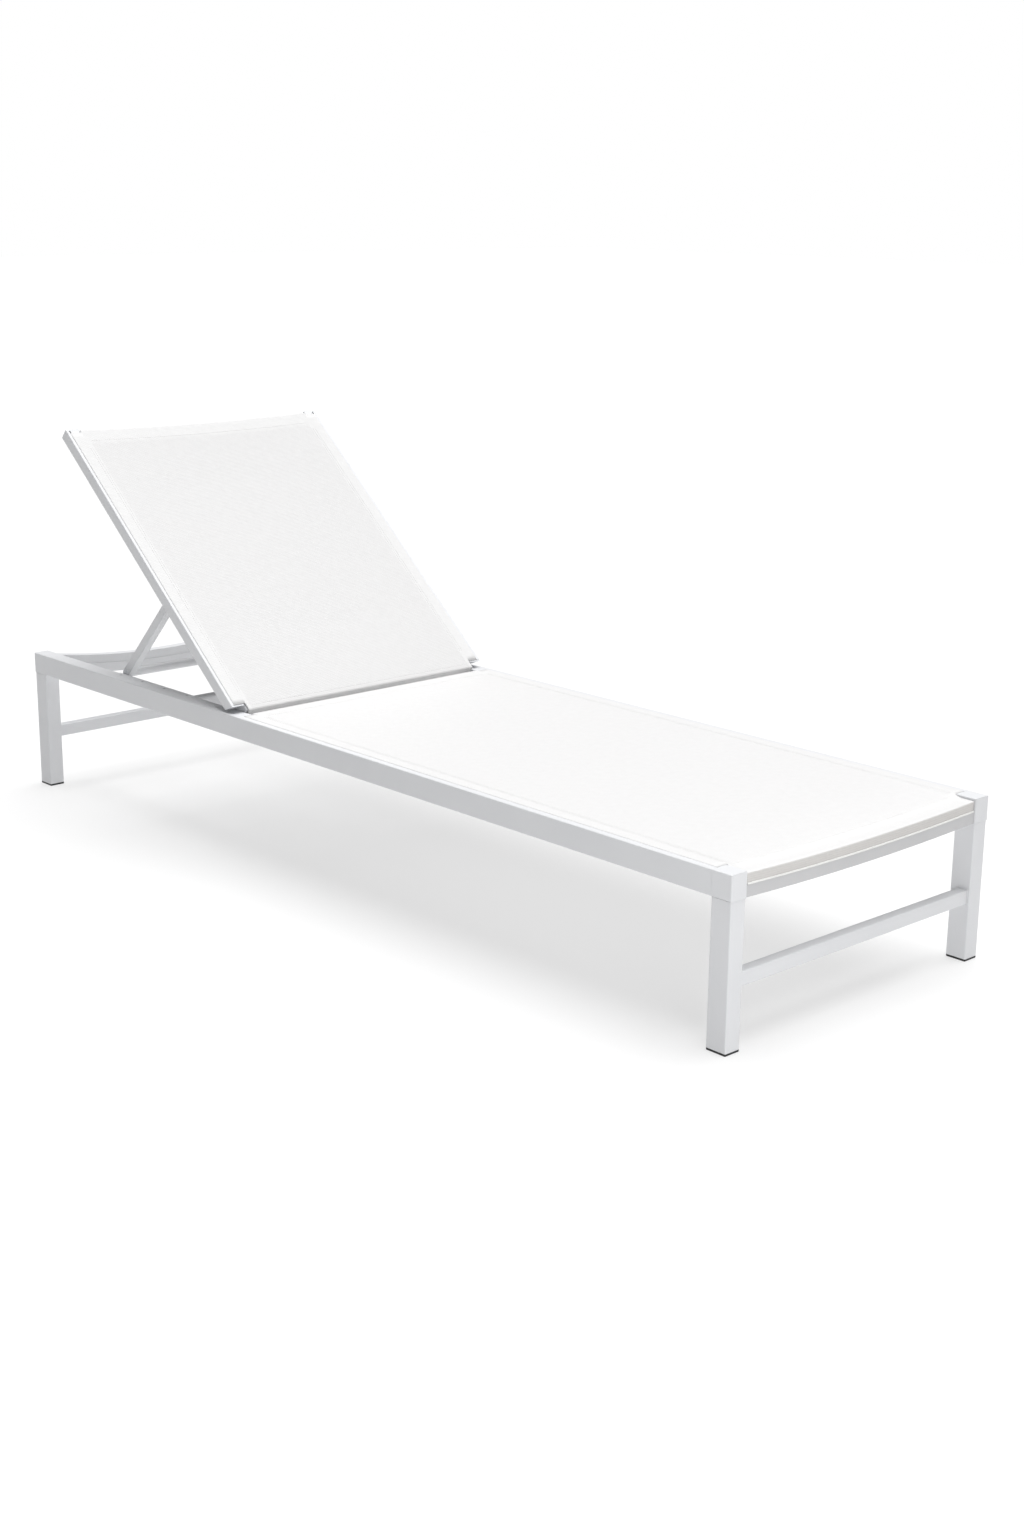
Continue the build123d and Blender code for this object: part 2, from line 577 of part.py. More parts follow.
def support_rack():
    """Notched bar inside the rail, hung from a thin flange let into the rail's top."""
    z0 = RACK_TEETH_TOP - RACK_H
    web_y = RAIL_IN - RACK_LAP
    rack = block(RACK_X0, RACK_BAR_END, RACK_IN_Y, RAIL_IN, z0, RACK_TEETH_TOP)
    rack += block(RACK_X0, RACK_BAR_END, web_y, RAIL_IN, z0, RAIL_TOP)
    rack += block(RACK_X0, RACK_X1, web_y, RAIL_IN + RACK_FLANGE, RAIL_TOP - RACK_FLANGE_T, RAIL_TOP)
    notch_r = FOOT_TUBE_R + NOTCH_GAP
    notch_z = RACK_TEETH_TOP - NOTCH_DEPTH + notch_r
    for angle in NOTCH_ANGLES:
        rack -= rod(notch_r, 2 * (web_y - RACK_IN_Y), notch_place(angle), RACK_IN_Y, notch_z)
    for x in rack_screw_places():
        rack -= screw_shape(x)
    return rack


# ---- build everything ---------------------------------------------------------------------
def build_base():
    add_pair("side_rail", side_rail())
    four_corners("corner_block", corner_block())
    four_corners("leg", leg())
    four_corners("leg_glide", leg_glide())
    parts["foot_stretcher"] = stretcher()
    parts["head_stretcher"] = mirror(stretcher(), about=Plane.YZ)
    parts["foot_crossbar"] = end_crossbar(FOOT_BOW, False)
    parts["head_crossbar"] = mirror(end_crossbar(HEAD_BOW, True), about=Plane.YZ)
    mid_x = MID_BAR_X1 - MID_BAR_W
    parts["middle_crossbar"] = straight_bar(mid_x, MID_BAR_W, MID_BAR_TOP, MID_BAR_W)
    parts["seat_rear_crossbar"] = straight_bar(SEAT_REAR + 1, REAR_BAR_W, RAIL_TOP, REAR_BAR_H)
    parts["seat_sling"] = seat_sling()
    add_pair("seat_spline", seat_spline())


def build_back():
    add_pair("back_side_tube", reclined(back_side_tube()))
    add_pair("back_spline", reclined(back_spline()))
    add_pair("hinge_lug", reclined(hinge_lug()))
    parts["back_top_bar"] = reclined(back_top_bar())
    parts["back_bottom_bar"] = reclined(back_bottom_bar())
    parts["back_sling"] = reclined(back_sling())
    caps = [reclined(slant_cap()), reclined(top_cap())]
    parts["back_tube_caps"] = Compound(children=caps + [other_side(c) for c in caps])


def build_hinges():
    makers = {"hinge_bolts": hinge_bolt, "hinge_bushes": hinge_bush, "hinge_washers": hinge_washer,
              "hinge_inserts": hinge_insert, "prop_bushes": prop_bush, "prop_washers": prop_washer,
              "prop_bolts": prop_bolt}
    for name, maker in makers.items():
        piece = maker()
        parts[name] = Compound(children=[piece, other_side(piece)])


def build_prop():
    add_pair("prop_arm", propped(prop_arm()))
    parts["prop_foot_tube"] = propped(prop_foot_tube())
    cap = propped(prop_foot_cap())
    parts["prop_foot_caps"] = Compound(children=[cap, other_side(cap)])
    add_pair("support_rack", support_rack())
    screws = [screw_shape(x) for x in rack_screw_places()]
    parts["rack_screws"] = Compound(children=screws + [other_side(s) for s in screws])


def main():
    build_base()
    build_back()
    build_hinges()
    build_prop()
    os.makedirs("parts", exist_ok=True)
    for name, solid in parts.items():
        export_step(solid, f"parts/{name}.step")
    print("nodes", len(parts))
    print("hinge axis", PIVOT_X, PIVOT_Z)
    print("prop hinge axis", round(PROP_X, 3), round(PROP_Z, 3))
    print("prop length", round(PROP_LENGTH, 3), "slope", round(PROP_SLOPE, 3))


main()
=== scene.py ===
"""Reclining sun lounger: the looks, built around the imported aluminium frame.

The white powder-coated frame keeps its own solids and gets its surface finishes here. The two taut mesh
slings with their hems, their stitching, the bead along the foot hem and the frame's weld beads are
modelled here, and each rides on the body that carries it.
"""

import json
import logging
import math
from dataclasses import dataclass, field
from enum import Enum

import bmesh
import bpy
from mathutils import Matrix, Vector
from mathutils.bvhtree import BVHTree


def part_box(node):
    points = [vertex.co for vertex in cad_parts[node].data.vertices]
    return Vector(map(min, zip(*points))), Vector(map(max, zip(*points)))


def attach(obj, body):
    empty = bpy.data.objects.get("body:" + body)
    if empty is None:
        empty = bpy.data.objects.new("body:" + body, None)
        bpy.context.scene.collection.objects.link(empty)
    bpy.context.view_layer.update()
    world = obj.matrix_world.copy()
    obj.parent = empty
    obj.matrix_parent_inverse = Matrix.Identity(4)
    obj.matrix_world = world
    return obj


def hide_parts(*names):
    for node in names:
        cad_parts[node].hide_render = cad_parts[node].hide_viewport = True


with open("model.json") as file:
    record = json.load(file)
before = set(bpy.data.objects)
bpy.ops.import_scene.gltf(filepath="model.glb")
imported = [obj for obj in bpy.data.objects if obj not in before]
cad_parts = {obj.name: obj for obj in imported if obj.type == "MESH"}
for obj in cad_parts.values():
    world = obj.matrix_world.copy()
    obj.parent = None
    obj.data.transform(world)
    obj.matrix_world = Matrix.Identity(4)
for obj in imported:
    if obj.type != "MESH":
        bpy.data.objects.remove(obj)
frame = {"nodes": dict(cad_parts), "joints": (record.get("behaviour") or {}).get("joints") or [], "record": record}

MM = 0.001
LOG = logging.getLogger("sun_lounger")
MATH = "ShaderNodeMath"
MIX_A, MIX_B, MIX_RESULT = 6, 7, 2  # the colour sockets of a Mix node
LAYERS = "layers"  # vertex attribute: 0 single cloth, up to 1 a hem whose double layer hides the painted see-through shade, -1 folded down the foot bar's face and painted in shade
WEAVE = "weave"  # UV map in metres of cloth

Point = tuple[float, float]
SeamRow = tuple[Point, Point, float]


class Body(Enum):
    """The rigid bodies that pieces ride on."""

    FRAME = "frame"
    BACK = "back"


class Side(Enum):
    """The user's left and right, as the sign of Y."""

    LEFT = 1
    RIGHT = -1


# ---- shading helpers ----------------------------------------------------------------------------


def linear(hex_colour: str, alpha: float = 1.0) -> tuple[float, float, float, float]:
    """Turn an sRGB hex colour into linear RGBA.

    Args:
        hex_colour: a colour such as "#F0F0EE".
        alpha: opacity.

    Returns:
        Red, green, blue and alpha, each from 0 to 1.
    """
    channels = []
    for start in (1, 3, 5):
        value = int(hex_colour[start : start + 2], 16) / 255
        channels.append(value / 12.92 if value <= 0.04045 else ((value + 0.055) / 1.055) ** 2.4)
    return (channels[0], channels[1], channels[2], alpha)


def add_node(tree: bpy.types.NodeTree, kind: str, inputs: dict | None = None, **settings) -> bpy.types.Node:
    """Add one node with its settings, values and links.

    Args:
        tree: the node tree.
        kind: the node's type name.
        inputs: socket name or number to a value, or to an output socket to link.
        settings: the node's own properties.

    Returns:
        The new node.
    """
    node = tree.nodes.new(kind)
    for name, value in settings.items():
        setattr(node, name, value)
    for key, value in (inputs or {}).items():
        if isinstance(value, bpy.types.NodeSocket):
            tree.links.new(value, node.inputs[key])
        else:
            node.inputs[key].default_value = value
    return node


@dataclass(frozen=True)
class Finish:
    """What all surface finishes share: a name, a colour, its darker tint and a gloss."""

    name: str
    colour: str
    shade: str
    roughness: float
    roughness_spread: float = 0.04
    ior: float = 1.5
    cloud_roughness: float = 0.55

    def material(self) -> bpy.types.Material:
        """Make the material, or return the one already made.

        Returns:
            The finish's material.
        """
        found = bpy.data.materials.get(self.name)
        if found is not None:
            return found
        made = bpy.data.materials.new(self.name)
        made.use_nodes = True
        made.diffuse_color = linear(self.colour)
        tree = made.node_tree
        shader = tree.nodes["Principled BSDF"]
        shader.inputs["IOR"].default_value = self.ior
        self.dress(tree, shader, add_node(tree, "ShaderNodeTexCoord"))
        return made

    def unevenness(
        self, tree: bpy.types.NodeTree, place: bpy.types.NodeSocket, size: float, detail: float = 2.0
    ) -> bpy.types.NodeSocket:
        """Return a cloudy value from 0 to 1 whose patches are about size metres across."""
        inputs = {"Vector": place, "Scale": 1 / size, "Detail": detail, "Roughness": self.cloud_roughness}
        return add_node(tree, "ShaderNodeTexNoise", inputs).outputs["Fac"]

    def tinted(
        self, tree: bpy.types.NodeTree, amount: bpy.types.NodeSocket, share: float = 1.0
    ) -> bpy.types.NodeSocket:
        """Mix the finish's colour with its darker tint.

        Args:
            tree: the node tree.
            amount: where the tint goes, from 0 to 1.
            share: how much of the tint there is where amount is 1.

        Returns:
            The mixed colour.
        """
        if share < 1:
            amount = add_node(tree, "ShaderNodeMapRange", {"Value": amount, "To Max": share}).outputs["Result"]
        inputs = {"Factor": amount, MIX_A: linear(self.colour), MIX_B: linear(self.shade)}
        return add_node(tree, "ShaderNodeMix", inputs, data_type="RGBA").outputs[MIX_RESULT]

    def rough(self, tree: bpy.types.NodeTree, amount: bpy.types.NodeSocket) -> bpy.types.NodeSocket:
        """Return a roughness that varies about the finish's own."""
        low, high = self.roughness - self.roughness_spread, self.roughness + self.roughness_spread
        inputs = {"Value": amount, "To Min": low, "To Max": high}
        return add_node(tree, "ShaderNodeMapRange", inputs).outputs["Result"]

    def relief(
        self, tree: bpy.types.NodeTree, height: bpy.types.NodeSocket, depth: float
    ) -> bpy.types.NodeSocket:
        """Return a normal that stands depth metres proud where height is 1."""
        inputs = {"Height": height, "Distance": depth, "Strength": 1.0}
        return add_node(tree, "ShaderNodeBump", inputs).outputs["Normal"]

    def dress(self, tree: bpy.types.NodeTree, shader: bpy.types.Node, place: bpy.types.Node) -> None:
        """Link the finish's textures to the shader; each finish has its own."""
        raise NotImplementedError


@dataclass(frozen=True)
class PowderCoat(Finish):
    """White powder-coated aluminium: a sprayed and baked film, satin, with a faint orange peel."""

    peel: float = 1.3 * MM
    peel_depth: float = 0.02 * MM
    peel_strength: float = 0.6
    dust: float = 90 * MM
    dust_tint: float = 0.55
    edge: float = 1.4 * MM

    def dress(self, tree: bpy.types.NodeTree, shader: bpy.types.Node, place: bpy.types.Node) -> None:
        """Give rounded edges that catch the light, and a gloss that drifts along a tube.

        Args:
            tree: the material's node tree.
            shader: its main shader.
            place: its texture coordinates.
        """
        spot = place.outputs["Object"]
        cloud = self.unevenness(tree, spot, self.dust, 3.0)
        tree.links.new(self.tinted(tree, cloud, self.dust_tint), shader.inputs["Base Color"])
        tree.links.new(self.rough(tree, cloud), shader.inputs["Roughness"])
        rounded = add_node(tree, "ShaderNodeBevel", {"Radius": self.edge}, samples=4)
        peel = self.unevenness(tree, spot, self.peel, 1.0)
        inputs = {"Height": peel, "Distance": self.peel_depth, "Strength": self.peel_strength}
        inputs["Normal"] = rounded.outputs["Normal"]
        normal = add_node(tree, "ShaderNodeBump", inputs)
        tree.links.new(normal.outputs["Normal"], shader.inputs["Normal"])


@dataclass(frozen=True)
class SlingMesh(Finish):
    """PVC-coated polyester mesh: coated yarns woven over and under, with a small hole between them."""

    # the yarns are about 1.2 mm apart; the weave is drawn coarser so that its ribs show
    weft: float = 3.6 * MM
    warp: float = 3.0 * MM
    weft_crown: float = 0.78
    warp_crown: float = 0.7
    crimp: float = 0.22
    yarn_depth: float = 0.35 * MM
    # painted shade: the holes and the single cloth are darkened for the shade seen through the open weave; a hem's
    # double layer hides it
    hole: float = 0.55
    hem_cover: float = 0.55
    through_shade: float = 0.3
    slub: float = 14 * MM
    slub_tint: float = 0.25
    # painted shade: the darker, warmer colour given to the hem's drop down the foot bar's face
    drop_shade_colour: str = "#BDB6AD"
    drop_shade_share: float = 0.3
    sheen: float = 0.12
    sheen_roughness: float = 0.45

    def yarns(
        self, tree: bpy.types.NodeTree, along: bpy.types.NodeSocket, pitch: float
    ) -> bpy.types.NodeSocket:
        """Return the wave of a set of yarns, from -1 to 1, one half wave to a yarn."""
        turn = add_node(tree, MATH, {0: along, 1: math.pi / pitch}, operation="MULTIPLY")
        return add_node(tree, MATH, {0: turn.outputs[0]}, operation="SINE").outputs[0]

    def risen(
        self,
        tree: bpy.types.NodeTree,
        yarn: bpy.types.NodeSocket,
        over: bpy.types.NodeSocket,
        crown: float,
        crimp: float,
    ) -> bpy.types.NodeSocket:
        """Work out how high a set of yarns stands.

        Args:
            tree: the node tree.
            yarn: the yarns' round section, from 0 to 1.
            over: above 0 where this set passes over the other one.
            crown: the yarns' mean height.
            crimp: how far they rise and dip.

        Returns:
            The height, from 0 to 1.
        """
        lift = add_node(tree, MATH, {0: over, 1: crimp, 2: crown}, operation="MULTIPLY_ADD")
        return add_node(tree, MATH, {0: yarn, 1: lift.outputs[0]}, operation="MULTIPLY").outputs[0]

    def dress(self, tree: bpy.types.NodeTree, shader: bpy.types.Node, place: bpy.types.Node) -> None:
        """Give ribs across the cloth, holes and single cloth painted dark for the shade seen through the weave,
        and a double, whiter layer at the hems.

        Args:
            tree: the material's node tree.
            shader: its main shader.
            place: its texture coordinates.
        """
        cloth = place.outputs["UV"]
        split = add_node(tree, "ShaderNodeSeparateXYZ", {0: cloth})
        weft = self.yarns(tree, split.outputs["Y"], self.weft)
        warp = self.yarns(tree, split.outputs["X"], self.warp)
        over = add_node(tree, MATH, {0: weft, 1: warp}, operation="MULTIPLY").outputs[0]
        weft_round = add_node(tree, MATH, {0: weft}, operation="ABSOLUTE").outputs[0]
        warp_round = add_node(tree, MATH, {0: warp}, operation="ABSOLUTE").outputs[0]
        weft_high = self.risen(tree, weft_round, over, self.weft_crown, self.crimp)
        warp_high = self.risen(tree, warp_round, over, self.warp_crown, -self.crimp)
        height = add_node(tree, MATH, {0: weft_high, 1: warp_high}, operation="MAXIMUM").outputs[0]

        # painted shade: single cloth and its holes are darkened by the shade seen through them, less where a hem's
        # layers cover it
        layers = add_node(tree, "ShaderNodeAttribute", attribute_name=LAYERS).outputs["Fac"]
        open_inputs = {0: layers, 1: -self.hem_cover, 2: 1.0}
        shade_seen_through = add_node(tree, MATH, open_inputs, operation="MULTIPLY_ADD").outputs[0]
        yarn = add_node(tree, MATH, {0: weft_round, 1: warp_round}, operation="MAXIMUM").outputs[0]
        gap = add_node(tree, MATH, {0: 1.0, 1: yarn}, operation="SUBTRACT").outputs[0]
        dark = add_node(tree, MATH, {0: gap, 1: self.hole}, operation="MULTIPLY").outputs[0]
        hole = add_node(tree, MATH, {0: dark, 1: shade_seen_through}, operation="MULTIPLY").outputs[0]
        slub = self.unevenness(tree, cloth, self.slub, 4.0)
        patches = add_node(tree, MATH, {0: slub, 1: self.slub_tint}, operation="MULTIPLY").outputs[0]
        veil_inputs = {0: shade_seen_through, 1: self.through_shade, 2: patches}
        through_shade = add_node(tree, MATH, veil_inputs, operation="MULTIPLY_ADD").outputs[0]
        amount = add_node(tree, MATH, {0: hole, 1: through_shade}, operation="ADD", use_clamp=True).outputs[0]

        # painted shade: where the cloth is folded down the foot bar's face it is painted darker and warmer, the
        # tone it has in the shade there
        fold_inputs = {0: layers, 1: -self.drop_shade_share}
        drop_shade = add_node(tree, MATH, fold_inputs, operation="MULTIPLY", use_clamp=True).outputs[0]
        inputs = {"Factor": drop_shade, MIX_A: self.tinted(tree, amount), MIX_B: linear(self.drop_shade_colour)}
        colour = add_node(tree, "ShaderNodeMix", inputs, data_type="RGBA").outputs[MIX_RESULT]
        tree.links.new(colour, shader.inputs["Base Color"])
        tree.links.new(self.rough(tree, slub), shader.inputs["Roughness"])
        tree.links.new(self.relief(tree, height, self.yarn_depth), shader.inputs["Normal"])
        shader.inputs["Sheen Weight"].default_value = self.sheen
        shader.inputs["Sheen Roughness"].default_value = self.sheen_roughness


@dataclass(frozen=True)
class SewingThread(Finish):
    """Bonded polyester thread, twisted, with a soft shine."""

    twist: float = 0.9 * MM
    twist_tint: float = 0.5
    twist_depth: float = 0.08 * MM

    def dress(self, tree: bpy.types.NodeTree, shader: bpy.types.Node, place: bpy.types.Node) -> None:
        """Give the thread the slanted ripple of its twist.

        Args:
            tree: the material's node tree.
            shader: its main shader.
            place: its texture coordinates.
        """
        inputs = {"Vector": place.outputs["Object"], "Scale": 1 / self.twist / math.tau}
        wave = add_node(tree, "ShaderNodeTexWave", inputs, bands_direction="DIAGONAL").outputs["Fac"]
        tree.links.new(self.tinted(tree, wave, self.twist_tint), shader.inputs["Base Color"])
        tree.links.new(self.relief(tree, wave, self.twist_depth), shader.inputs["Normal"])
        tree.links.new(self.rough(tree, wave), shader.inputs["Roughness"])


@dataclass(frozen=True)
class MouldedPlastic(Finish):
    """Moulded or extruded plastic with the fine grain of its tool."""

    mottle: float = 12 * MM
    grain: float = 0.7 * MM
    grain_depth: float = 0.03 * MM

    def dress(self, tree: bpy.types.NodeTree, shader: bpy.types.Node, place: bpy.types.Node) -> None:
        """Give a fine matt grain, a little uneven in tone.

        Args:
            tree: the material's node tree.
            shader: its main shader.
            place: its texture coordinates.
        """
        spot = place.outputs["Object"]
        cloud = self.unevenness(tree, spot, self.mottle, 3.0)
        tree.links.new(self.tinted(tree, cloud), shader.inputs["Base Color"])
        tree.links.new(self.rough(tree, cloud), shader.inputs["Roughness"])
        grain = self.unevenness(tree, spot, self.grain)
        tree.links.new(self.relief(tree, grain, self.grain_depth), shader.inputs["Normal"])


@dataclass(frozen=True)
class TurnedSteel(Finish):
    """Stainless steel turned on a lathe, with fine tool rings about the bolt's axis."""

    # the rings are about 0.35 mm apart; they are drawn coarser so that they show
    ring: float = 2.8 * MM
    ring_stretch: float = 12.0
    ring_depth: float = 0.01 * MM

    def dress(self, tree: bpy.types.NodeTree, shader: bpy.types.Node, place: bpy.types.Node) -> None:
        """Give fine rings and a gloss that varies with them.

        Args:
            tree: the material's node tree.
            shader: its main shader.
            place: its texture coordinates.
        """
        shader.inputs["Metallic"].default_value = 1.0
        inputs = {"Vector": place.outputs["Object"], "Scale": (1.0, self.ring_stretch, 1.0)}
        stretched = add_node(tree, "ShaderNodeMapping", inputs)
        rings = self.unevenness(tree, stretched.outputs["Vector"], self.ring, 3.0)
        tree.links.new(self.tinted(tree, rings), shader.inputs["Base Color"])
        tree.links.new(self.rough(tree, rings), shader.inputs["Roughness"])
        tree.links.new(self.relief(tree, rings, self.ring_depth), shader.inputs["Normal"])


# sprayed and baked powder: satin white, very even, with soft highlights along the tubes' rounded edges
POWDER_COAT = PowderCoat("powder-coated_aluminium", "#DBDCDE", "#CFD0D3", 0.42, 0.05)
# the same coat on the foot bar, painted greyer for the shade under the seat's foot hem
SHADED_BAR_COAT = PowderCoat("powder-coated_aluminium_bar_painted_shade", "#C4C4C5", "#B9B9BB", 0.45, 0.05)
# woven from coated yarn: a matt white ribbed cloth, painted grey in its holes and single layer for the shade seen
# through the weave
SLING_MESH = SlingMesh("PVC-coated_polyester_mesh", "#E3E3E3", "#C9C8C8", 0.62, 0.06, 1.48)
# twisted and bonded: short white stitches that glint a little
THREAD = SewingThread("bonded_polyester_thread", "#E2E1E1", "#C6C5C5", 0.5, 0.05, 1.5)
# injection moulded in a spark-eroded tool: matt black soles
BLACK_GLIDE = MouldedPlastic("moulded_black_polyethylene", "#17181A", "#0E0F10", 0.5, 0.08, 1.51)
# injection moulded: pale grey end caps, close to the coat's colour
GREY_CAP = MouldedPlastic("moulded_grey_polypropylene", "#DADCDF", "#CFD1D4", 0.46, 0.05, 1.49)
# extruded: smooth off-white rods in the grooves and a bright line under the foot hem
KEDER_PVC = MouldedPlastic("extruded_PVC_keder", "#EBEBEA", "#E0E0DD", 0.4, 0.05, 1.53)
# machined from rod: waxy cream bushes and washers
NYLON = MouldedPlastic("natural_nylon", "#E6E4DA", "#D9D6CA", 0.42, 0.05, 1.53)
# turned on a lathe: bright bolts and screws with fine rings
STAINLESS = TurnedSteel("turned_stainless_steel", "#C9CACC", "#A9AAAD", 0.3, 0.07)


# ---- mesh helpers -------------------------------------------------------------------------------


@dataclass(frozen=True)
class Recline:
    """The pose that the back is drawn in: pieces are made lying flat and then turned about the hinge."""

    hinge: Vector
    angle: float

    @classmethod
    def from_frame(cls) -> "Recline":
        """Read the hinge and the drawn angle from the back's joint, whose lower limit is flat."""
        joint = next(j for j in frame["joints"] if j["child"] == Body.BACK.value)
        return cls(Vector(joint["pos_m"]), math.radians(-joint["range_deg"][0]))

    def matrix(self) -> Matrix:
        """Return the turn from flat to the drawn angle."""
        turn = Matrix.Rotation(self.angle, 4, "Y")
        return Matrix.Translation(self.hinge) @ turn @ Matrix.Translation(-self.hinge)


RECLINE = Recline.from_frame()


def to_object(bm: bmesh.types.BMesh, name: str, finish: Finish, smooth: float) -> bpy.types.Object:
    """Turn a finished bmesh into an object at the origin, with smooth shading below an edge angle.

    Args:
        bm: the shape, in place, in metres.
        name: the piece's name.
        finish: its surface finish.
        smooth: edges sharper than this many degrees stay sharp.

    Returns:
        The new object.
    """
    mesh = bpy.data.meshes.new(name)
    limit = math.radians(smooth)
    for face in bm.faces:
        face.smooth = True
    for edge in bm.edges:
        if len(edge.link_faces) == 2:
            edge.smooth = edge.calc_face_angle() < limit
    bm.to_mesh(mesh)
    bm.free()
    mesh.materials.append(finish.material())
    made = bpy.data.objects.new(name, mesh)
    bpy.context.scene.collection.objects.link(made)
    return made


def settle(piece: bpy.types.Object, body: Body) -> bpy.types.Object:
    """Let a piece ride on its body and report it.

    Args:
        piece: the finished piece.
        body: the body that carries it.

    Returns:
        The piece.
    """
    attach(piece, body.value)
    LOG.info("%s rides on %s with %d faces", piece.name, body.value, len(piece.data.polygons))
    return piece


def arc(centre: Point, radius: float, start: float, end: float, steps: int) -> list[Point]:
    """Return points along an arc.

    Args:
        centre: the arc's centre.
        radius: its radius.
        start: first angle in degrees.
        end: last angle in degrees.
        steps: how many spans.

    Returns:
        steps + 1 points.
    """
    points = []
    for i in range(steps + 1):
        a = math.radians(start + (end - start) * i / steps)
        points.append((centre[0] + radius * math.cos(a), centre[1] + radius * math.sin(a)))
    return points


def spread(start: float, end: float, step: float) -> list[float]:
    """Return evenly spaced values from start to end, both included, about a step apart."""
    count = max(1, round(abs(end - start) / step))
    return [start + (end - start) * i / count for i in range(count + 1)]


def run_length(points: list[Point]) -> list[float]:
    """Return the distance along a run of points at each of them."""
    lengths = [0.0]
    for (x0, z0), (x1, z1) in zip(points, points[1:]):
        lengths.append(lengths[-1] + math.hypot(x1 - x0, z1 - z0))
    return lengths


def stamp(bm: bmesh.types.BMesh, shape: bpy.types.Mesh, move: Matrix) -> None:
    """Add one copy of a small mesh, moved to its place.

    Args:
        bm: where the copy goes.
        shape: the small mesh.
        move: its place and turn.
    """
    first = len(bm.verts)
    bm.from_mesh(shape)
    bm.verts.ensure_lookup_table()
    bmesh.ops.transform(bm, matrix=move, verts=bm.verts[first:])


# ---- slings -------------------------------------------------------------------------------------


@dataclass(frozen=True)
class Station:
    """One row of a sling: its place along and up, how far it follows a bowed bar, and if it wraps one."""

    along: float
    up: float
    bow: float = 0.0
    wraps: bool = False


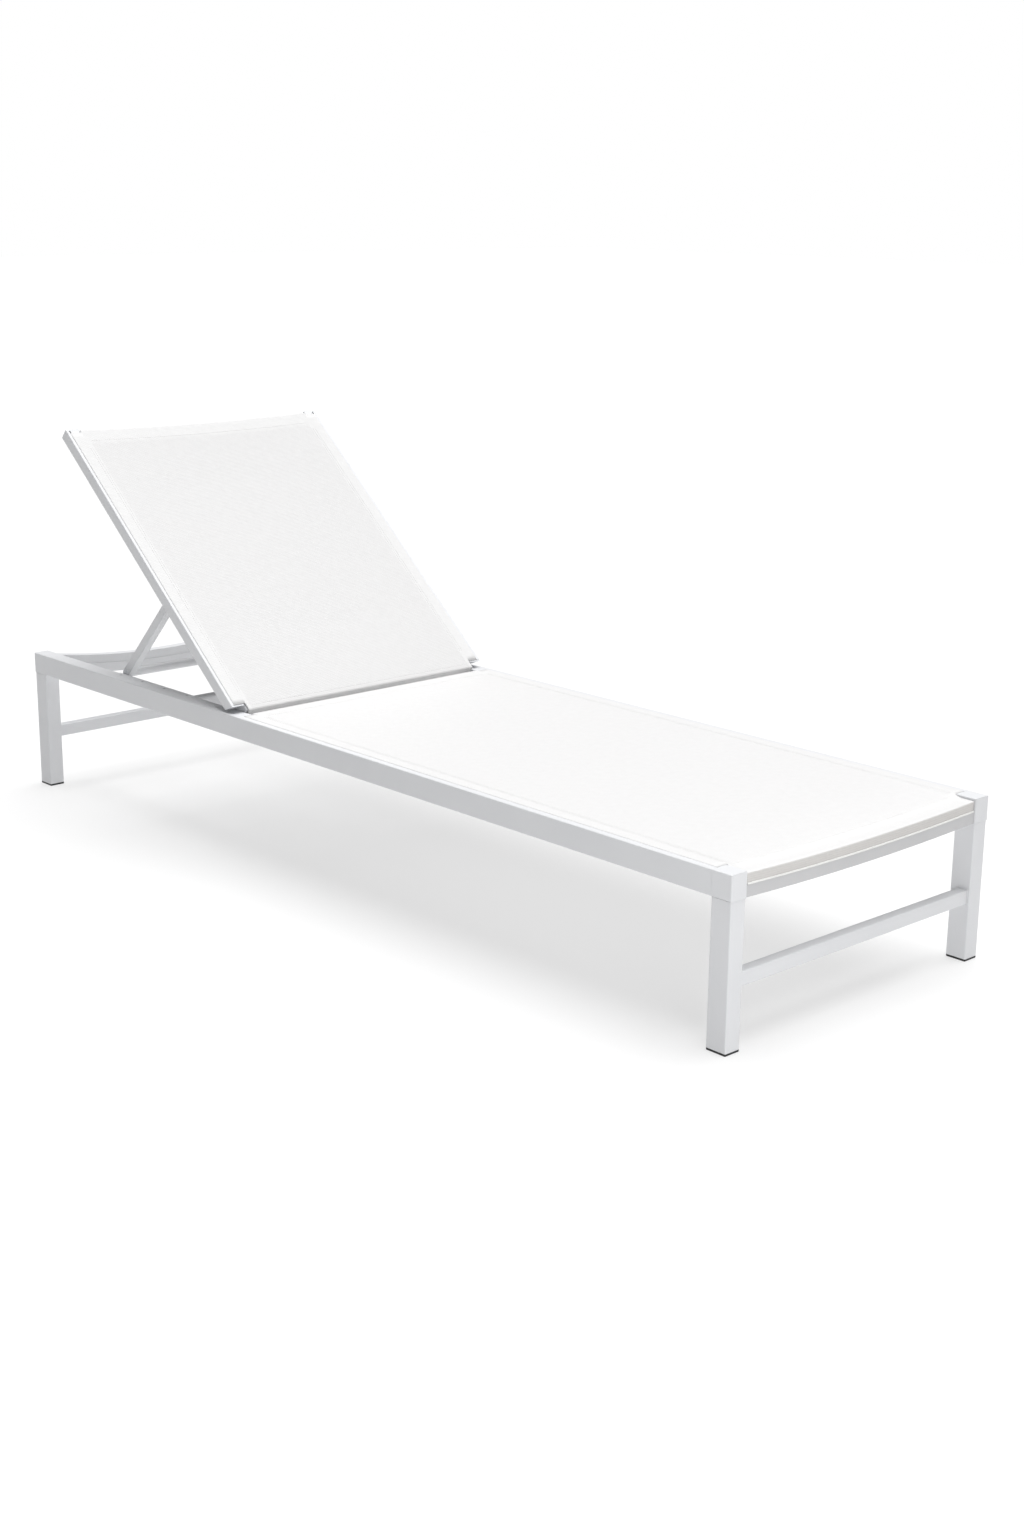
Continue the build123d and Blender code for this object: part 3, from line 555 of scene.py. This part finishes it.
@dataclass
class Sling:
    """Taut mesh fabric whose long edges run down into the tubes' grooves over keder rods.

    Lengths are in metres. A sling is laid out flat: along is X, across is Y, and up is Z.
    """

    name: str
    cad_node: str
    body: Body
    thickness: float = 0.9 * MM
    clearance: float = 0.1 * MM
    hem: float = 33 * MM
    hem_rise: float = 0.4 * MM
    sag: float = 2.5 * MM
    sag_reach: float = 180 * MM
    groove_y: float = 311.9 * MM
    groove_drop: float = 4.5 * MM
    bend: float = 1.6 * MM
    bend_spans: int = 4
    tube_in: float = 290 * MM
    flap_half: float = 288.2 * MM
    free_room: float = 0.5 * MM
    # columns: close together over a tube and at the hem's seam, wide apart over the free cloth
    tube_step: float = 6 * MM
    tube_first: float = 4 * MM
    tube_last: float = 2.5 * MM
    seam_lead: float = 5 * MM
    seam_half: float = 0.4 * MM
    free_first: float = 9 * MM
    column_step: float = 17 * MM
    pocket_step: float = 5 * MM
    relax_steps: int = 260
    free: list[bmesh.types.BMVert] = field(default_factory=list, init=False)
    surface: BVHTree | None = field(default=None, init=False)

    def stations(self) -> list[Station]:
        """Return the rows from one end to the other."""
        raise NotImplementedError

    def bowed(self, station: Station, y: float) -> Point:
        """Return the along and up of a row at a distance across, with the end bar's bow."""
        raise NotImplementedError

    def fold(self, along: float, y: float) -> float:
        """Return how far into the double layer of a hem a point is; -1 is folded down over a bar and painted in
        shade.
        """
        raise NotImplementedError

    def is_free(self, station: Station, y: float) -> bool:
        """Tell whether the cloth hangs free there, clear of every tube and bar."""
        raise NotImplementedError

    def sag_share(self, spot: Vector) -> float:
        """Return the share of the full sag at a place, 0 at the tubes and 1 in the middle."""
        return 1 - min(1.0, (spot.y / self.tube_in) ** 2)

    def gap(self) -> float:
        """Return how far the middle of the cloth lies from a bar that it wraps."""
        return self.thickness / 2 + self.clearance

    def columns(self) -> list[Point]:
        """Return the columns' Y and their height over the tube's face, from right to left."""
        rest = self.thickness / 2
        centre = (self.groove_y - self.bend, rest - self.bend)
        half = [(self.groove_y, -self.groove_drop), (self.groove_y, -self.groove_drop / 2)]
        half += arc(centre, self.bend, 0, 90, self.bend_spans)
        over_tube = spread(centre[0] - self.tube_first, self.tube_in + self.tube_last, self.tube_step)
        edge = self.groove_y - self.hem
        seam = [edge + self.seam_lead, edge + self.seam_half, edge - self.seam_half]
        free = spread(edge - self.free_first, 0, self.column_step)
        half += [(y, rest) for y in over_tube + [self.tube_in, self.flap_half] + seam + free]
        return [(-y, z) for y, z in half] + [(y, z) for y, z in reversed(half[:-1])]

    def grid(self) -> bmesh.types.BMesh:
        """Lay the cloth out as a grid whose UV map is in metres of cloth.

        Returns:
            The cloth, lying flat, without the flaps that would run through a bar's ends.
        """
        rows, columns = self.stations(), self.columns()
        row_run = run_length([(r.along, r.up) for r in rows])
        column_run = run_length(columns)
        bm = bmesh.new()
        bmesh.ops.create_grid(bm, x_segments=len(rows) - 1, y_segments=len(columns) - 1, size=0.5)
        weave = bm.loops.layers.uv.new(WEAVE)
        layers = bm.verts.layers.float.new(LAYERS)
        place = {}
        for vert in bm.verts:
            i = round((vert.co.x + 0.5) * (len(rows) - 1))
            j = round((vert.co.y + 0.5) * (len(columns) - 1))
            place[vert] = (i, j)
            y, drop = columns[j]
            along, up = self.bowed(rows[i], y)
            vert[layers] = self.fold(rows[i].along, y)
            vert.co = (along, y, up + drop + max(0.0, vert[layers]) * self.hem_rise)
        for face in bm.faces:
            for loop in face.loops:
                i, j = place[loop.vert]
                loop[weave].uv = (column_run[j], row_run[i])
        gone = []
        for face in bm.faces:
            ends = [place[v] for v in face.verts]
            over = any(rows[i].wraps for i, _ in ends)
            outside = any(abs(columns[j][0]) > self.flap_half + MM for _, j in ends)
            if over and outside:
                gone.append(face)
        bmesh.ops.delete(bm, geom=gone, context="FACES")
        self.free = [v for v in bm.verts if self.is_free(rows[place[v][0]], columns[place[v][1]][0])]
        return bm

    def tension(self, bm: bmesh.types.BMesh) -> None:
        """Relax the free cloth to a stretched skin, then let it sag a little."""
        for _ in range(self.relax_steps):
            bmesh.ops.smooth_vert(bm, verts=self.free, factor=0.5, use_axis_z=True)
        for vert in self.free:
            vert.co.z -= self.sag * self.sag_share(vert.co)

    def place(self, bm: bmesh.types.BMesh) -> None:
        """Move the flat shape to where it belongs."""

    def build(self) -> bpy.types.Object:
        """Make the sling, with its thickness, in place of its CAD solid.

        Returns:
            The sling, riding on its body.
        """
        bm = self.grid()
        self.tension(bm)
        bmesh.ops.recalc_face_normals(bm, faces=bm.faces)
        if sum(f.normal.z for f in bm.faces) < 0:
            bmesh.ops.reverse_faces(bm, faces=bm.faces)
        self.surface = BVHTree.FromBMesh(bm)
        self.place(bm)
        piece = to_object(bm, self.name, SLING_MESH, smooth=60.0)
        wall = piece.modifiers.new("cloth_thickness", "SOLIDIFY")
        wall.thickness = self.thickness
        wall.offset = 0.0
        wall.use_even_offset = True
        settle(piece, self.body)
        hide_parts(self.cad_node)
        return piece

    def flat_size(self) -> tuple[float, float]:
        """Return the width and length that the cloth was cut to."""
        width = run_length(self.columns())[-1]
        length = run_length([(r.along, r.up) for r in self.stations()])[-1]
        return width, length


@dataclass(frozen=True)
class Pocket:
    """A hem that wraps a bar: over its outer edge, under it and back up to the cloth.

    outer and inner are the bar's edges along the cloth, top and bottom the heights of the cloth over
    and under it, radius its bend at the edges, and meet where the hem is sewn to the cloth again.
    """

    outer: float
    inner: float
    top: float
    bottom: float
    radius: float
    meet: float
    step: float = 7 * MM
    bend_spans: int = 5
    under_cloth: float = 1.2 * MM
    rise_shares: tuple[float, ...] = (0.33, 0.66, 0.92, 1.0)

    def line(self) -> list[Point]:
        """Return points (along, up) from the top, over the outer edge, to the seam."""
        sign = 1 if self.outer > self.inner else -1
        centre = self.outer - sign * self.radius
        points = arc((centre, self.top - self.radius), self.radius, 90, 90 - sign * 90, self.bend_spans)
        start, end = (0, -90) if sign > 0 else (180, 270)
        points += arc((centre, self.bottom + self.radius), self.radius, start, end, self.bend_spans)
        points += [(a, self.bottom) for a in spread(centre - sign * self.radius, self.inner, self.step)]
        run, rise = self.meet - self.inner, self.top - self.under_cloth - self.bottom
        return points + [(self.inner + run * t, self.bottom + rise * t) for t in self.rise_shares]


@dataclass
class SeatSling(Sling):
    """The seat: from the bar in front of the hinge to the bowed foot bar, which it wraps."""

    rear_bar: str = "seat_rear_crossbar"
    foot_bar: str = "foot_crossbar"
    rail: str = "side_rail_left"
    row_step: float = 13 * MM
    rear_bend: float = 4.5 * MM
    rear_seam: float = 14 * MM
    rail_spare: float = 0.6 * MM
    drop_shares: tuple[float, ...] = (0.33, 0.66, 1.0)
    foot_bend: float = 1.9 * MM
    foot_bow: float = 6.5 * MM
    foot_hem: float = 43 * MM
    bar_step: float = 5 * MM
    hem_layer: float = 0.25
    lip: float = 18 * MM
    lip_depth: float = 1.6 * MM
    lip_step: float = 3 * MM
    lip_spare: float = 0.4 * MM

    def __post_init__(self) -> None:
        """Read the bars' places from the frame."""
        rear, foot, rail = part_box(self.rear_bar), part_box(self.foot_bar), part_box(self.rail)
        self.rear_out, self.rear_in = rear[0].x, rear[1].x
        self.rear_low = rear[0].z
        self.foot_in, self.foot_out = foot[0].x, foot[1].x - self.lip_depth
        self.bar_top, self.bar_half = foot[1].z, foot[1].y
        self.rail_top, self.rail_end = rail[1].z, rail[1].x

    def stations(self) -> list[Station]:
        """Lay the rows: rear hem pocket, the free seat, over the foot bar and down to its lip.

        Returns:
            The rows, from the rear hem's seam to the foot bar's lip.
        """
        skin, gap, top = self.thickness / 2, self.gap(), self.rail_top
        rear = Pocket(self.rear_out - gap, self.rear_in + gap, gap, self.rear_low - top - gap,
                      self.rear_bend, self.rear_in + self.rear_seam)
        rows = [Station(a, u + top - skin, 0.0, True) for a, u in reversed(rear.line())]
        start = rows[-1].along + self.pocket_step
        rows += [Station(x, top) for x in spread(start, self.rail_end - self.rail_spare, self.row_step)]
        for share in self.drop_shares:
            x = self.rail_end + (self.foot_in - self.rail_end) * share
            rows.append(Station(x, top - (top - self.bar_top) * share, share, True))
        edge, bend = self.foot_out + gap, self.foot_bend
        for x in spread(self.foot_in + self.bar_step, edge - bend, self.bar_step)[:-1]:
            rows.append(Station(x, self.bar_top, 1.0, True))
        for x, z in arc((edge - bend, self.bar_top - bend), bend, 90, 0, self.bend_spans):
            rows.append(Station(x, z, 1.0, True))
        low = self.bar_top - self.lip - skin + self.lip_spare
        for z in spread(self.bar_top - bend - self.lip_step, low, self.lip_step):
            rows.append(Station(edge, z, 1.0, True))
        return rows

    def bowed(self, station: Station, y: float) -> Point:
        """Let the cloth dip towards the middle with the foot bar's top."""
        dip = self.foot_bow * (1 - min(1.0, (y / self.bar_half) ** 2))
        return station.along, station.up - station.bow * dip

    def fold(self, along: float, y: float) -> float:
        """Return the hems' layers: over the rails, over the foot bar, and down its face, where -1 paints the cloth
        in shade.
        """
        side = abs(y) > self.groove_y - self.hem
        # painted shade: the drop down the foot bar's face is marked -1, which darkens it
        if along > self.foot_out:
            return -1.0
        return self.hem_layer if side or along > self.foot_out - self.foot_hem else 0.0

    def is_free(self, station: Station, y: float) -> bool:
        """Tell whether a point is between the rails, the rear bar and the foot bar."""
        inside = self.rear_in < station.along < self.foot_in - self.free_room
        return inside and abs(y) < self.tube_in - self.free_room and station.up > self.bar_top

    def sag_share(self, spot: Vector) -> float:
        """Let the sag die out towards the bars at both ends."""
        ends = min(spot.x - self.rear_in, self.foot_in - spot.x) / self.sag_reach
        return super().sag_share(spot) * max(0.0, min(1.0, ends))


@dataclass
class BackSling(Sling):
    """The back: from the bar between the hinge lugs to the bowed bar at the top, which it wraps."""

    top_bar: str = "back_top_bar"
    bottom_bar: str = "back_bottom_bar"
    side_tube: str = "back_side_tube_left"
    tube_in: float = 289 * MM
    flap_half: float = 287.2 * MM
    sag_reach: float = 150 * MM
    row_step: float = 12 * MM
    top_hem: float = 34 * MM
    top_bend: float = 2.2 * MM
    top_bow: float = 6.5 * MM
    top_first: float = 6 * MM
    top_seam: float = 7 * MM
    bottom_bend: float = 3.5 * MM
    bottom_meet: float = 16 * MM
    bottom_seam: float = 11 * MM
    tube_short: float = 0.5 * MM
    flap_last: float = 3 * MM
    bar_width: float = 25 * MM
    bow_reach: float = 60 * MM

    def __post_init__(self) -> None:
        """Read the back's flat measures from the frame: the two bars and a side tube."""
        flat = RECLINE.matrix().inverted()
        boxes = {}
        for node in (self.top_bar, self.bottom_bar, self.side_tube):
            points = [flat @ v.co for v in frame["nodes"][node].data.vertices]
            low = Vector([min(p[k] for p in points) for k in range(3)])
            boxes[node] = (low, Vector([max(p[k] for p in points) for k in range(3)]))
        top, bottom, tube = boxes[self.top_bar], boxes[self.bottom_bar], boxes[self.side_tube]
        self.top_out, self.top_low = top[0].x, top[0].z
        self.top_in = self.top_out + self.bar_width
        self.bottom_in, self.bottom_low, self.bottom_out = bottom[0].x, bottom[0].z, bottom[1].x
        self.tube_low_end, self.tube_top = tube[1].x, tube[1].z

    def stations(self) -> list[Station]:
        """Lay the rows up the back; along runs towards -X.

        Returns:
            The rows, from the bottom bar's pocket to the top bar's pocket.
        """
        skin, gap, top = self.thickness / 2, self.gap(), self.tube_top
        bottom = Pocket(self.bottom_out + gap, self.bottom_in - gap, gap, self.bottom_low - top - gap,
                        self.bottom_bend, self.bottom_in - self.bottom_meet)
        rows = [Station(a, u + top - skin, 0.0, True) for a, u in reversed(bottom.line())]
        first = self.tube_low_end - self.tube_short
        flap = spread(rows[-1].along - self.pocket_step, first + self.flap_last, self.pocket_step)
        rows += [Station(x, top, 0.0, True) for x in flap]
        for x in spread(first, self.top_out + self.top_first, self.row_step):
            rows.append(Station(x, top, self.bow_share(x)))
        end = Pocket(self.top_out - gap, self.top_in + gap, gap, self.top_low - top - gap,
                     self.top_bend, self.top_in + self.top_seam)
        return rows + [Station(a, u + top - skin, 1.0, True) for a, u in end.line()]

    def bow_share(self, x: float) -> float:
        """Return how far a row follows the top bar's bow: fully on the bar, not at all further down."""
        share = 1 - max(0.0, x - self.top_in) / self.bow_reach
        return max(0.0, min(1.0, share))

    def bowed(self, station: Station, y: float) -> Point:
        """Let the cloth dip down the back towards the middle with the top bar's edge."""
        dip = self.top_bow * (1 - min(1.0, (y / self.tube_in) ** 2))
        return station.along + station.bow * dip, station.up

    def fold(self, along: float, y: float) -> float:
        """Return the hems' layers: over the side tubes and over the top bar."""
        side = abs(y) > self.groove_y - self.hem
        return 1.0 if side or along < self.top_out + self.top_hem else 0.0

    def is_free(self, station: Station, y: float) -> bool:
        """Tell whether a point is between the tubes and the two bars."""
        inside = self.top_in + 2 * self.free_room < station.along < self.bottom_in
        return inside and abs(y) < self.tube_in - self.free_room and station.up >= self.tube_top - self.clearance

    def sag_share(self, spot: Vector) -> float:
        """Let the sag die out towards the bars at both ends."""
        ends = min(spot.x - self.top_in, self.bottom_in - spot.x) / self.sag_reach
        return super().sag_share(spot) * max(0.0, min(1.0, ends))

    def place(self, bm: bmesh.types.BMesh) -> None:
        """Turn the flat sling up to the back's angle."""
        bmesh.ops.transform(bm, matrix=RECLINE.matrix(), verts=bm.verts)


# ---- stitching and beads ------------------------------------------------------------------------


@dataclass
class Stitching:
    """Lock stitches sunk into the cloth along its hems."""

    name: str
    sling: Sling
    length: float = 3.6 * MM
    pitch: float = 5.0 * MM
    width: float = 0.9 * MM
    height: float = 0.7 * MM
    sides: int = 6
    rings: int = 4
    side_insets: tuple[float, float] = (3.5 * MM, 9 * MM)
    end_inset: float = 4 * MM
    drop_from: float = 1.0

    def one_stitch(self) -> bpy.types.Mesh:
        """Return a single stitch, lying along X."""
        bm = bmesh.new()
        bmesh.ops.create_uvsphere(bm, u_segments=self.sides, v_segments=self.rings, radius=0.5)
        bmesh.ops.rotate(bm, verts=bm.verts, matrix=Matrix.Rotation(math.pi / 2, 3, "Y"))
        bmesh.ops.scale(bm, vec=(self.length, self.width, self.height), verts=bm.verts)
        mesh = bpy.data.meshes.new(self.name + "_one")
        bm.to_mesh(mesh)
        bm.free()
        return mesh

    def lay(self, bm: bmesh.types.BMesh, stitch: bpy.types.Mesh, row: SeamRow) -> None:
        """Lay a row of stitches on the sling's top.

        Args:
            bm: where the stitches go.
            stitch: a single stitch.
            row: the row's two ends as X and Y, and how far its middle moves along +X.
        """
        start, end, bow = row
        a, b = Vector((*start, 0)), Vector((*end, 0))
        count = int((b - a).length / self.pitch)
        turn = Matrix.Rotation(math.atan2(b.y - a.y, b.x - a.x), 4, "Z")
        lift = Vector((0, 0, self.width / 8 + self.sling.thickness / 2))
        up = Vector((0, 0, 1))
        for i in range(count):
            t = (i + 0.5) / count
            spot = a.lerp(b, t)
            spot.x += bow * (1 - (2 * t - 1) ** 2)
            hit, normal, _, _ = self.sling.surface.ray_cast(Vector((spot.x, spot.y, self.drop_from)), -up)
            if hit is None:
                continue
            slant = up.rotation_difference(normal if normal.z > 0 else -normal).to_matrix().to_4x4()
            stamp(bm, stitch, Matrix.Translation(hit + lift) @ slant @ turn)

    def side_rows(self, start: float, end: float) -> list[SeamRow]:
        """Return two rows inside each side hem, between two places along the sling."""
        edge = self.sling.groove_y - self.sling.hem
        places = [side.value * (edge + inset) for side in Side for inset in self.side_insets]
        return [((start, y), (end, y), 0.0) for y in places]

    def end_row(self, x: float, bow: float = 0.0) -> SeamRow:
        """Return a row across the sling, between the side hems."""
        half = self.sling.groove_y - self.sling.hem - self.end_inset
        return ((x, -half), (x, half), bow)

    def rows(self) -> list[SeamRow]:
        """Return each row's ends and bow."""
        raise NotImplementedError

    def build(self) -> bpy.types.Object:
        """Sew every row and let the stitches ride with their sling.

        Returns:
            All the sling's stitches as one piece.
        """
        stitch = self.one_stitch()
        bm = bmesh.new()
        for row in self.rows():
            self.lay(bm, stitch, row)
        self.sling.place(bm)
        bpy.data.meshes.remove(stitch)
        return settle(to_object(bm, self.name, THREAD, smooth=80.0), self.sling.body)


@dataclass
class SeatStitching(Stitching):
    """Two rows inside each side hem of the seat, and one across each end."""

    rear_start: float = 16 * MM
    foot_stop: float = 22 * MM
    foot_inset: float = 5 * MM
    rear_seam: float = 12 * MM

    def rows(self) -> list[SeamRow]:
        """Return side rows along the seat and end rows that follow the bars."""
        seat = self.sling
        made = self.side_rows(seat.rear_in + self.rear_start, seat.foot_in - self.foot_stop)
        made.append(self.end_row(seat.foot_out - seat.foot_hem + self.foot_inset))
        made.append(self.end_row(seat.rear_in + self.rear_seam))
        return made


@dataclass
class BackStitching(Stitching):
    """Two rows inside each side hem of the back, and one along each bar's pocket."""

    bottom_start: float = 20 * MM
    top_stop: float = 24 * MM
    top_inset: float = 4 * MM

    def rows(self) -> list[SeamRow]:
        """Return side rows up the back and end rows, of which the top one bows with the bar."""
        back = self.sling
        made = self.side_rows(back.bottom_in - self.bottom_start, back.top_in + self.top_stop)
        x = back.top_out + back.top_hem - self.top_inset
        made.append(self.end_row(x, back.top_bow * back.bow_share(x)))
        made.append(self.end_row(back.bottom_out - back.bottom_seam))
        return made


@dataclass
class FootBead:
    """The round edge bead of the seat's foot hem, seated on the bar's lip and bowed with the bar."""

    name: str
    seat: SeatSling
    radius: float = 1.6 * MM
    sides: int = 12
    spans: int = 48
    end_room: float = 1.5 * MM
    seated: float = 0.9

    def build(self) -> bpy.types.Object:
        """Make a straight rod, divide it along its length and bow it like the bar.

        Returns:
            The bead, riding on the frame.
        """
        seat = self.seat
        half = seat.flap_half - self.end_room
        bm = bmesh.new()
        bmesh.ops.create_cone(bm, cap_ends=True, segments=self.sides, radius1=self.radius,
                              radius2=self.radius, depth=2 * half)
        bmesh.ops.rotate(bm, verts=bm.verts, matrix=Matrix.Rotation(math.pi / 2, 3, "X"))
        long_edges = [e for e in bm.edges if e.calc_length() > half]
        bmesh.ops.subdivide_edges(bm, edges=long_edges, cuts=self.spans - 1)
        level = seat.bar_top - seat.lip + self.seated * self.radius
        for vert in bm.verts:
            vert.co.z += level - seat.foot_bow * (1 - min(1.0, (vert.co.y / seat.bar_half) ** 2))
            vert.co.x += seat.foot_out + self.radius
        bmesh.ops.recalc_face_normals(bm, faces=bm.faces)
        return settle(to_object(bm, self.name, KEDER_PVC, smooth=50.0), Body.FRAME)


@dataclass
class FrameWelds:
    """Rippled weld beads round the ends of the tubes that butt against the legs and the rails."""

    name: str
    tubes: tuple[str, ...] = ("foot_stretcher", "head_stretcher", "middle_crossbar")
    radius: float = 1.6 * MM
    ripple: float = 2.2 * MM
    sides: int = 8
    rings: int = 5

    def outline(self, tube: str, side: Side) -> list[Vector]:
        """Find the places of the ripples round one end of a tube.

        Args:
            tube: the tube's node.
            side: which of its ends.

        Returns:
            The ripples' centres.
        """
        low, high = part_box(tube)
        y = (high.y if side is Side.LEFT else low.y) - side.value * self.radius / 2
        corners = [Vector((x, y, z)) for x, z in
                   ((low.x, low.z), (high.x, low.z), (high.x, high.z), (low.x, high.z))]
        places = []
        for a, b in zip(corners, corners[1:] + corners[:1]):
            steps = round((b - a).length / self.ripple)
            places += [a.lerp(b, i / steps) for i in range(steps)]
        return places

    def build(self) -> bpy.types.Object:
        """Lay one drop of metal per ripple along every seam.

        Returns:
            All the welds as one piece, riding on the frame.
        """
        bm = bmesh.new()
        bmesh.ops.create_uvsphere(bm, u_segments=self.sides, v_segments=self.rings, radius=self.radius)
        drop = bpy.data.meshes.new(self.name + "_one")
        bm.to_mesh(drop)
        bm.clear()
        for tube in self.tubes:
            for side in Side:
                for spot in self.outline(tube, side):
                    stamp(bm, drop, Matrix.Translation(spot))
        bpy.data.meshes.remove(drop)
        return settle(to_object(bm, self.name, POWDER_COAT, smooth=80.0), Body.FRAME)


# ---- frame finishes -----------------------------------------------------------------------------


class FrameFinishes:
    """Gives every carried-over frame node the finish of its real material, and the foot bar a copy painted in
    shade.
    """

    by_slot = {
        "powder_coat": POWDER_COAT,
        "sling_mesh": SLING_MESH,
        "keder_rod": KEDER_PVC,
        "glide_plastic": BLACK_GLIDE,
        "cap_plastic": GREY_CAP,
        "nylon": NYLON,
        "stainless": STAINLESS,
    }
    # painted shade: the foot bar gets a greyer copy of the coat
    by_node = {"foot_crossbar": SHADED_BAR_COAT}

    def dress(self) -> None:
        """Put each node's finish in its material slots."""
        slots = {part["node"]: part["material_slot"] for part in frame["record"]["subparts"]}
        for node, thing in frame["nodes"].items():
            finish = self.by_node.get(node, self.by_slot[slots[node]])
            if not thing.material_slots:
                thing.data.materials.append(None)
            for material_slot in thing.material_slots:
                material_slot.material = finish.material()
            LOG.info("%s is finished in %s", node, finish.name)


# ---- studio -------------------------------------------------------------------------------------


@dataclass
class Studio:
    """A pale floor, a soft light overhead and a weaker one from the foot end."""

    floor_half: float = 30.0
    floor_cells: int = 8
    floor_colour: str = "#9C9C9C"
    floor_roughness: float = 0.9
    floor_shine: float = 0.1
    floor_glow: float = 0.59
    top_strength: float = 4.3
    top_spread: float = 64.0
    top_elevation: float = 77.0
    top_heading: float = 108.0
    fill_power: float = 26.0
    fill_size: float = 1.0
    fill_place: tuple[float, float, float] = (3.1, -1.5, 0.6)
    fill_aim: tuple[float, float, float] = (0.6, -0.2, 0.15)
    sky: float = 0.12
    white: str = "#FFFFFF"

    def floor(self) -> None:
        """Lay a wide floor of matt, evenly lit studio paper."""
        bm = bmesh.new()
        bmesh.ops.create_grid(bm, x_segments=self.floor_cells, y_segments=self.floor_cells, size=self.floor_half)
        mesh = bpy.data.meshes.new("floor")
        bm.to_mesh(mesh)
        bm.free()
        ground = bpy.data.objects.new("floor", mesh)
        bpy.context.scene.collection.objects.link(ground)
        paper = bpy.data.materials.new("studio_paper")
        paper.use_nodes = True
        sockets = paper.node_tree.nodes["Principled BSDF"].inputs
        sockets["Base Color"].default_value = linear(self.floor_colour)
        sockets["Roughness"].default_value = self.floor_roughness
        sockets["Specular IOR Level"].default_value = self.floor_shine
        sockets["Emission Color"].default_value = linear(self.white)
        sockets["Emission Strength"].default_value = self.floor_glow
        mesh.materials.append(paper)

    def overhead(self) -> None:
        """Add a wide, soft distant light above the lounger."""
        lamp = bpy.data.lights.new("overhead_light", "SUN")
        lamp.energy = self.top_strength
        lamp.angle = math.radians(self.top_spread)
        holder = bpy.data.objects.new("overhead_light", lamp)
        e, h = math.radians(self.top_elevation), math.radians(self.top_heading)
        source = Vector((math.cos(e) * math.cos(h), math.cos(e) * math.sin(h), math.sin(e)))
        holder.rotation_mode = "QUATERNION"
        holder.rotation_quaternion = source.to_track_quat("Z", "Y")
        bpy.context.scene.collection.objects.link(holder)

    def fill(self) -> None:
        """Add a soft lamp beyond the near foot corner, weaker towards the head end."""
        lamp = bpy.data.lights.new("foot_end_light", "AREA")
        lamp.shape = "DISK"
        lamp.size = self.fill_size
        lamp.energy = self.fill_power
        holder = bpy.data.objects.new("foot_end_light", lamp)
        place, aim = Vector(self.fill_place), Vector(self.fill_aim)
        turn = (aim - place).to_track_quat("-Z", "Y").to_matrix().to_4x4()
        holder.matrix_world = Matrix.Translation(place) @ turn
        holder.visible_camera = False
        bpy.context.scene.collection.objects.link(holder)

    def surround(self) -> None:
        """Add a white surround that lights the scene gently and is seen as pure white."""
        made = bpy.data.worlds.new("white_surround")
        made.use_nodes = True
        tree = made.node_tree
        background = tree.nodes["Background"]
        background.inputs["Color"].default_value = linear(self.white)
        seen = add_node(tree, "ShaderNodeLightPath").outputs["Is Camera Ray"]
        strength = add_node(tree, "ShaderNodeMapRange", {"Value": seen, "To Min": self.sky, "To Max": 1.0})
        tree.links.new(strength.outputs["Result"], background.inputs["Strength"])
        bpy.context.scene.world = made

    def build(self) -> None:
        """Set up the floor, the lights and a neutral view transform."""
        self.floor()
        self.surround()
        self.overhead()
        self.fill()
        view = bpy.context.scene.view_settings
        view.view_transform = "Standard"
        view.look = "None"
        LOG.info("studio ready")


@dataclass
class StudioCamera:
    """The camera's place and aim, from the lounger's near foot corner."""

    place: tuple[float, float, float] = (2.92627, -2.56382, 1.27151)
    azimuth: float = 47.0905
    elevation: float = 15.5831
    roll: float = 0.6429
    lens: float = 48.908
    sensor: float = 36.0

    def build(self) -> None:
        """Create the camera and make it the scene's."""
        a, e = math.radians(self.azimuth), math.radians(self.elevation)
        back = Vector((math.sin(a) * math.cos(e), -math.cos(a) * math.cos(e), math.sin(e)))
        data = bpy.data.cameras.new("studio_camera")
        data.lens = self.lens
        data.sensor_width = self.sensor
        holder = bpy.data.objects.new("studio_camera", data)
        aim = (-back).to_track_quat("-Z", "Y").to_matrix().to_4x4()
        turn = Matrix.Rotation(math.radians(self.roll), 4, "Z")
        holder.matrix_world = Matrix.Translation(self.place) @ aim @ turn
        bpy.context.scene.collection.objects.link(holder)
        bpy.context.scene.camera = holder
        LOG.info("camera ready")


def main() -> None:
    """Build every sub-assembly in order."""
    logging.basicConfig(level=logging.INFO, format="%(message)s")
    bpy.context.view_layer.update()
    StudioCamera().build()
    Studio().build()
    FrameFinishes().dress()
    seat = SeatSling("seat_mesh", "seat_sling", Body.FRAME)
    back = BackSling("back_mesh", "back_sling", Body.BACK)
    seat_cloth, back_cloth = seat.build(), back.build()
    seat_trim = [SeatStitching("seat_stitches", seat).build(), FootBead("foot_hem_bead", seat).build()]
    back_trim = [BackStitching("back_stitches", back).build()]
    seat.flat_size()
    back.flat_size()
    FrameWelds("frame_welds").build()


if __name__ == "__main__":
    main()
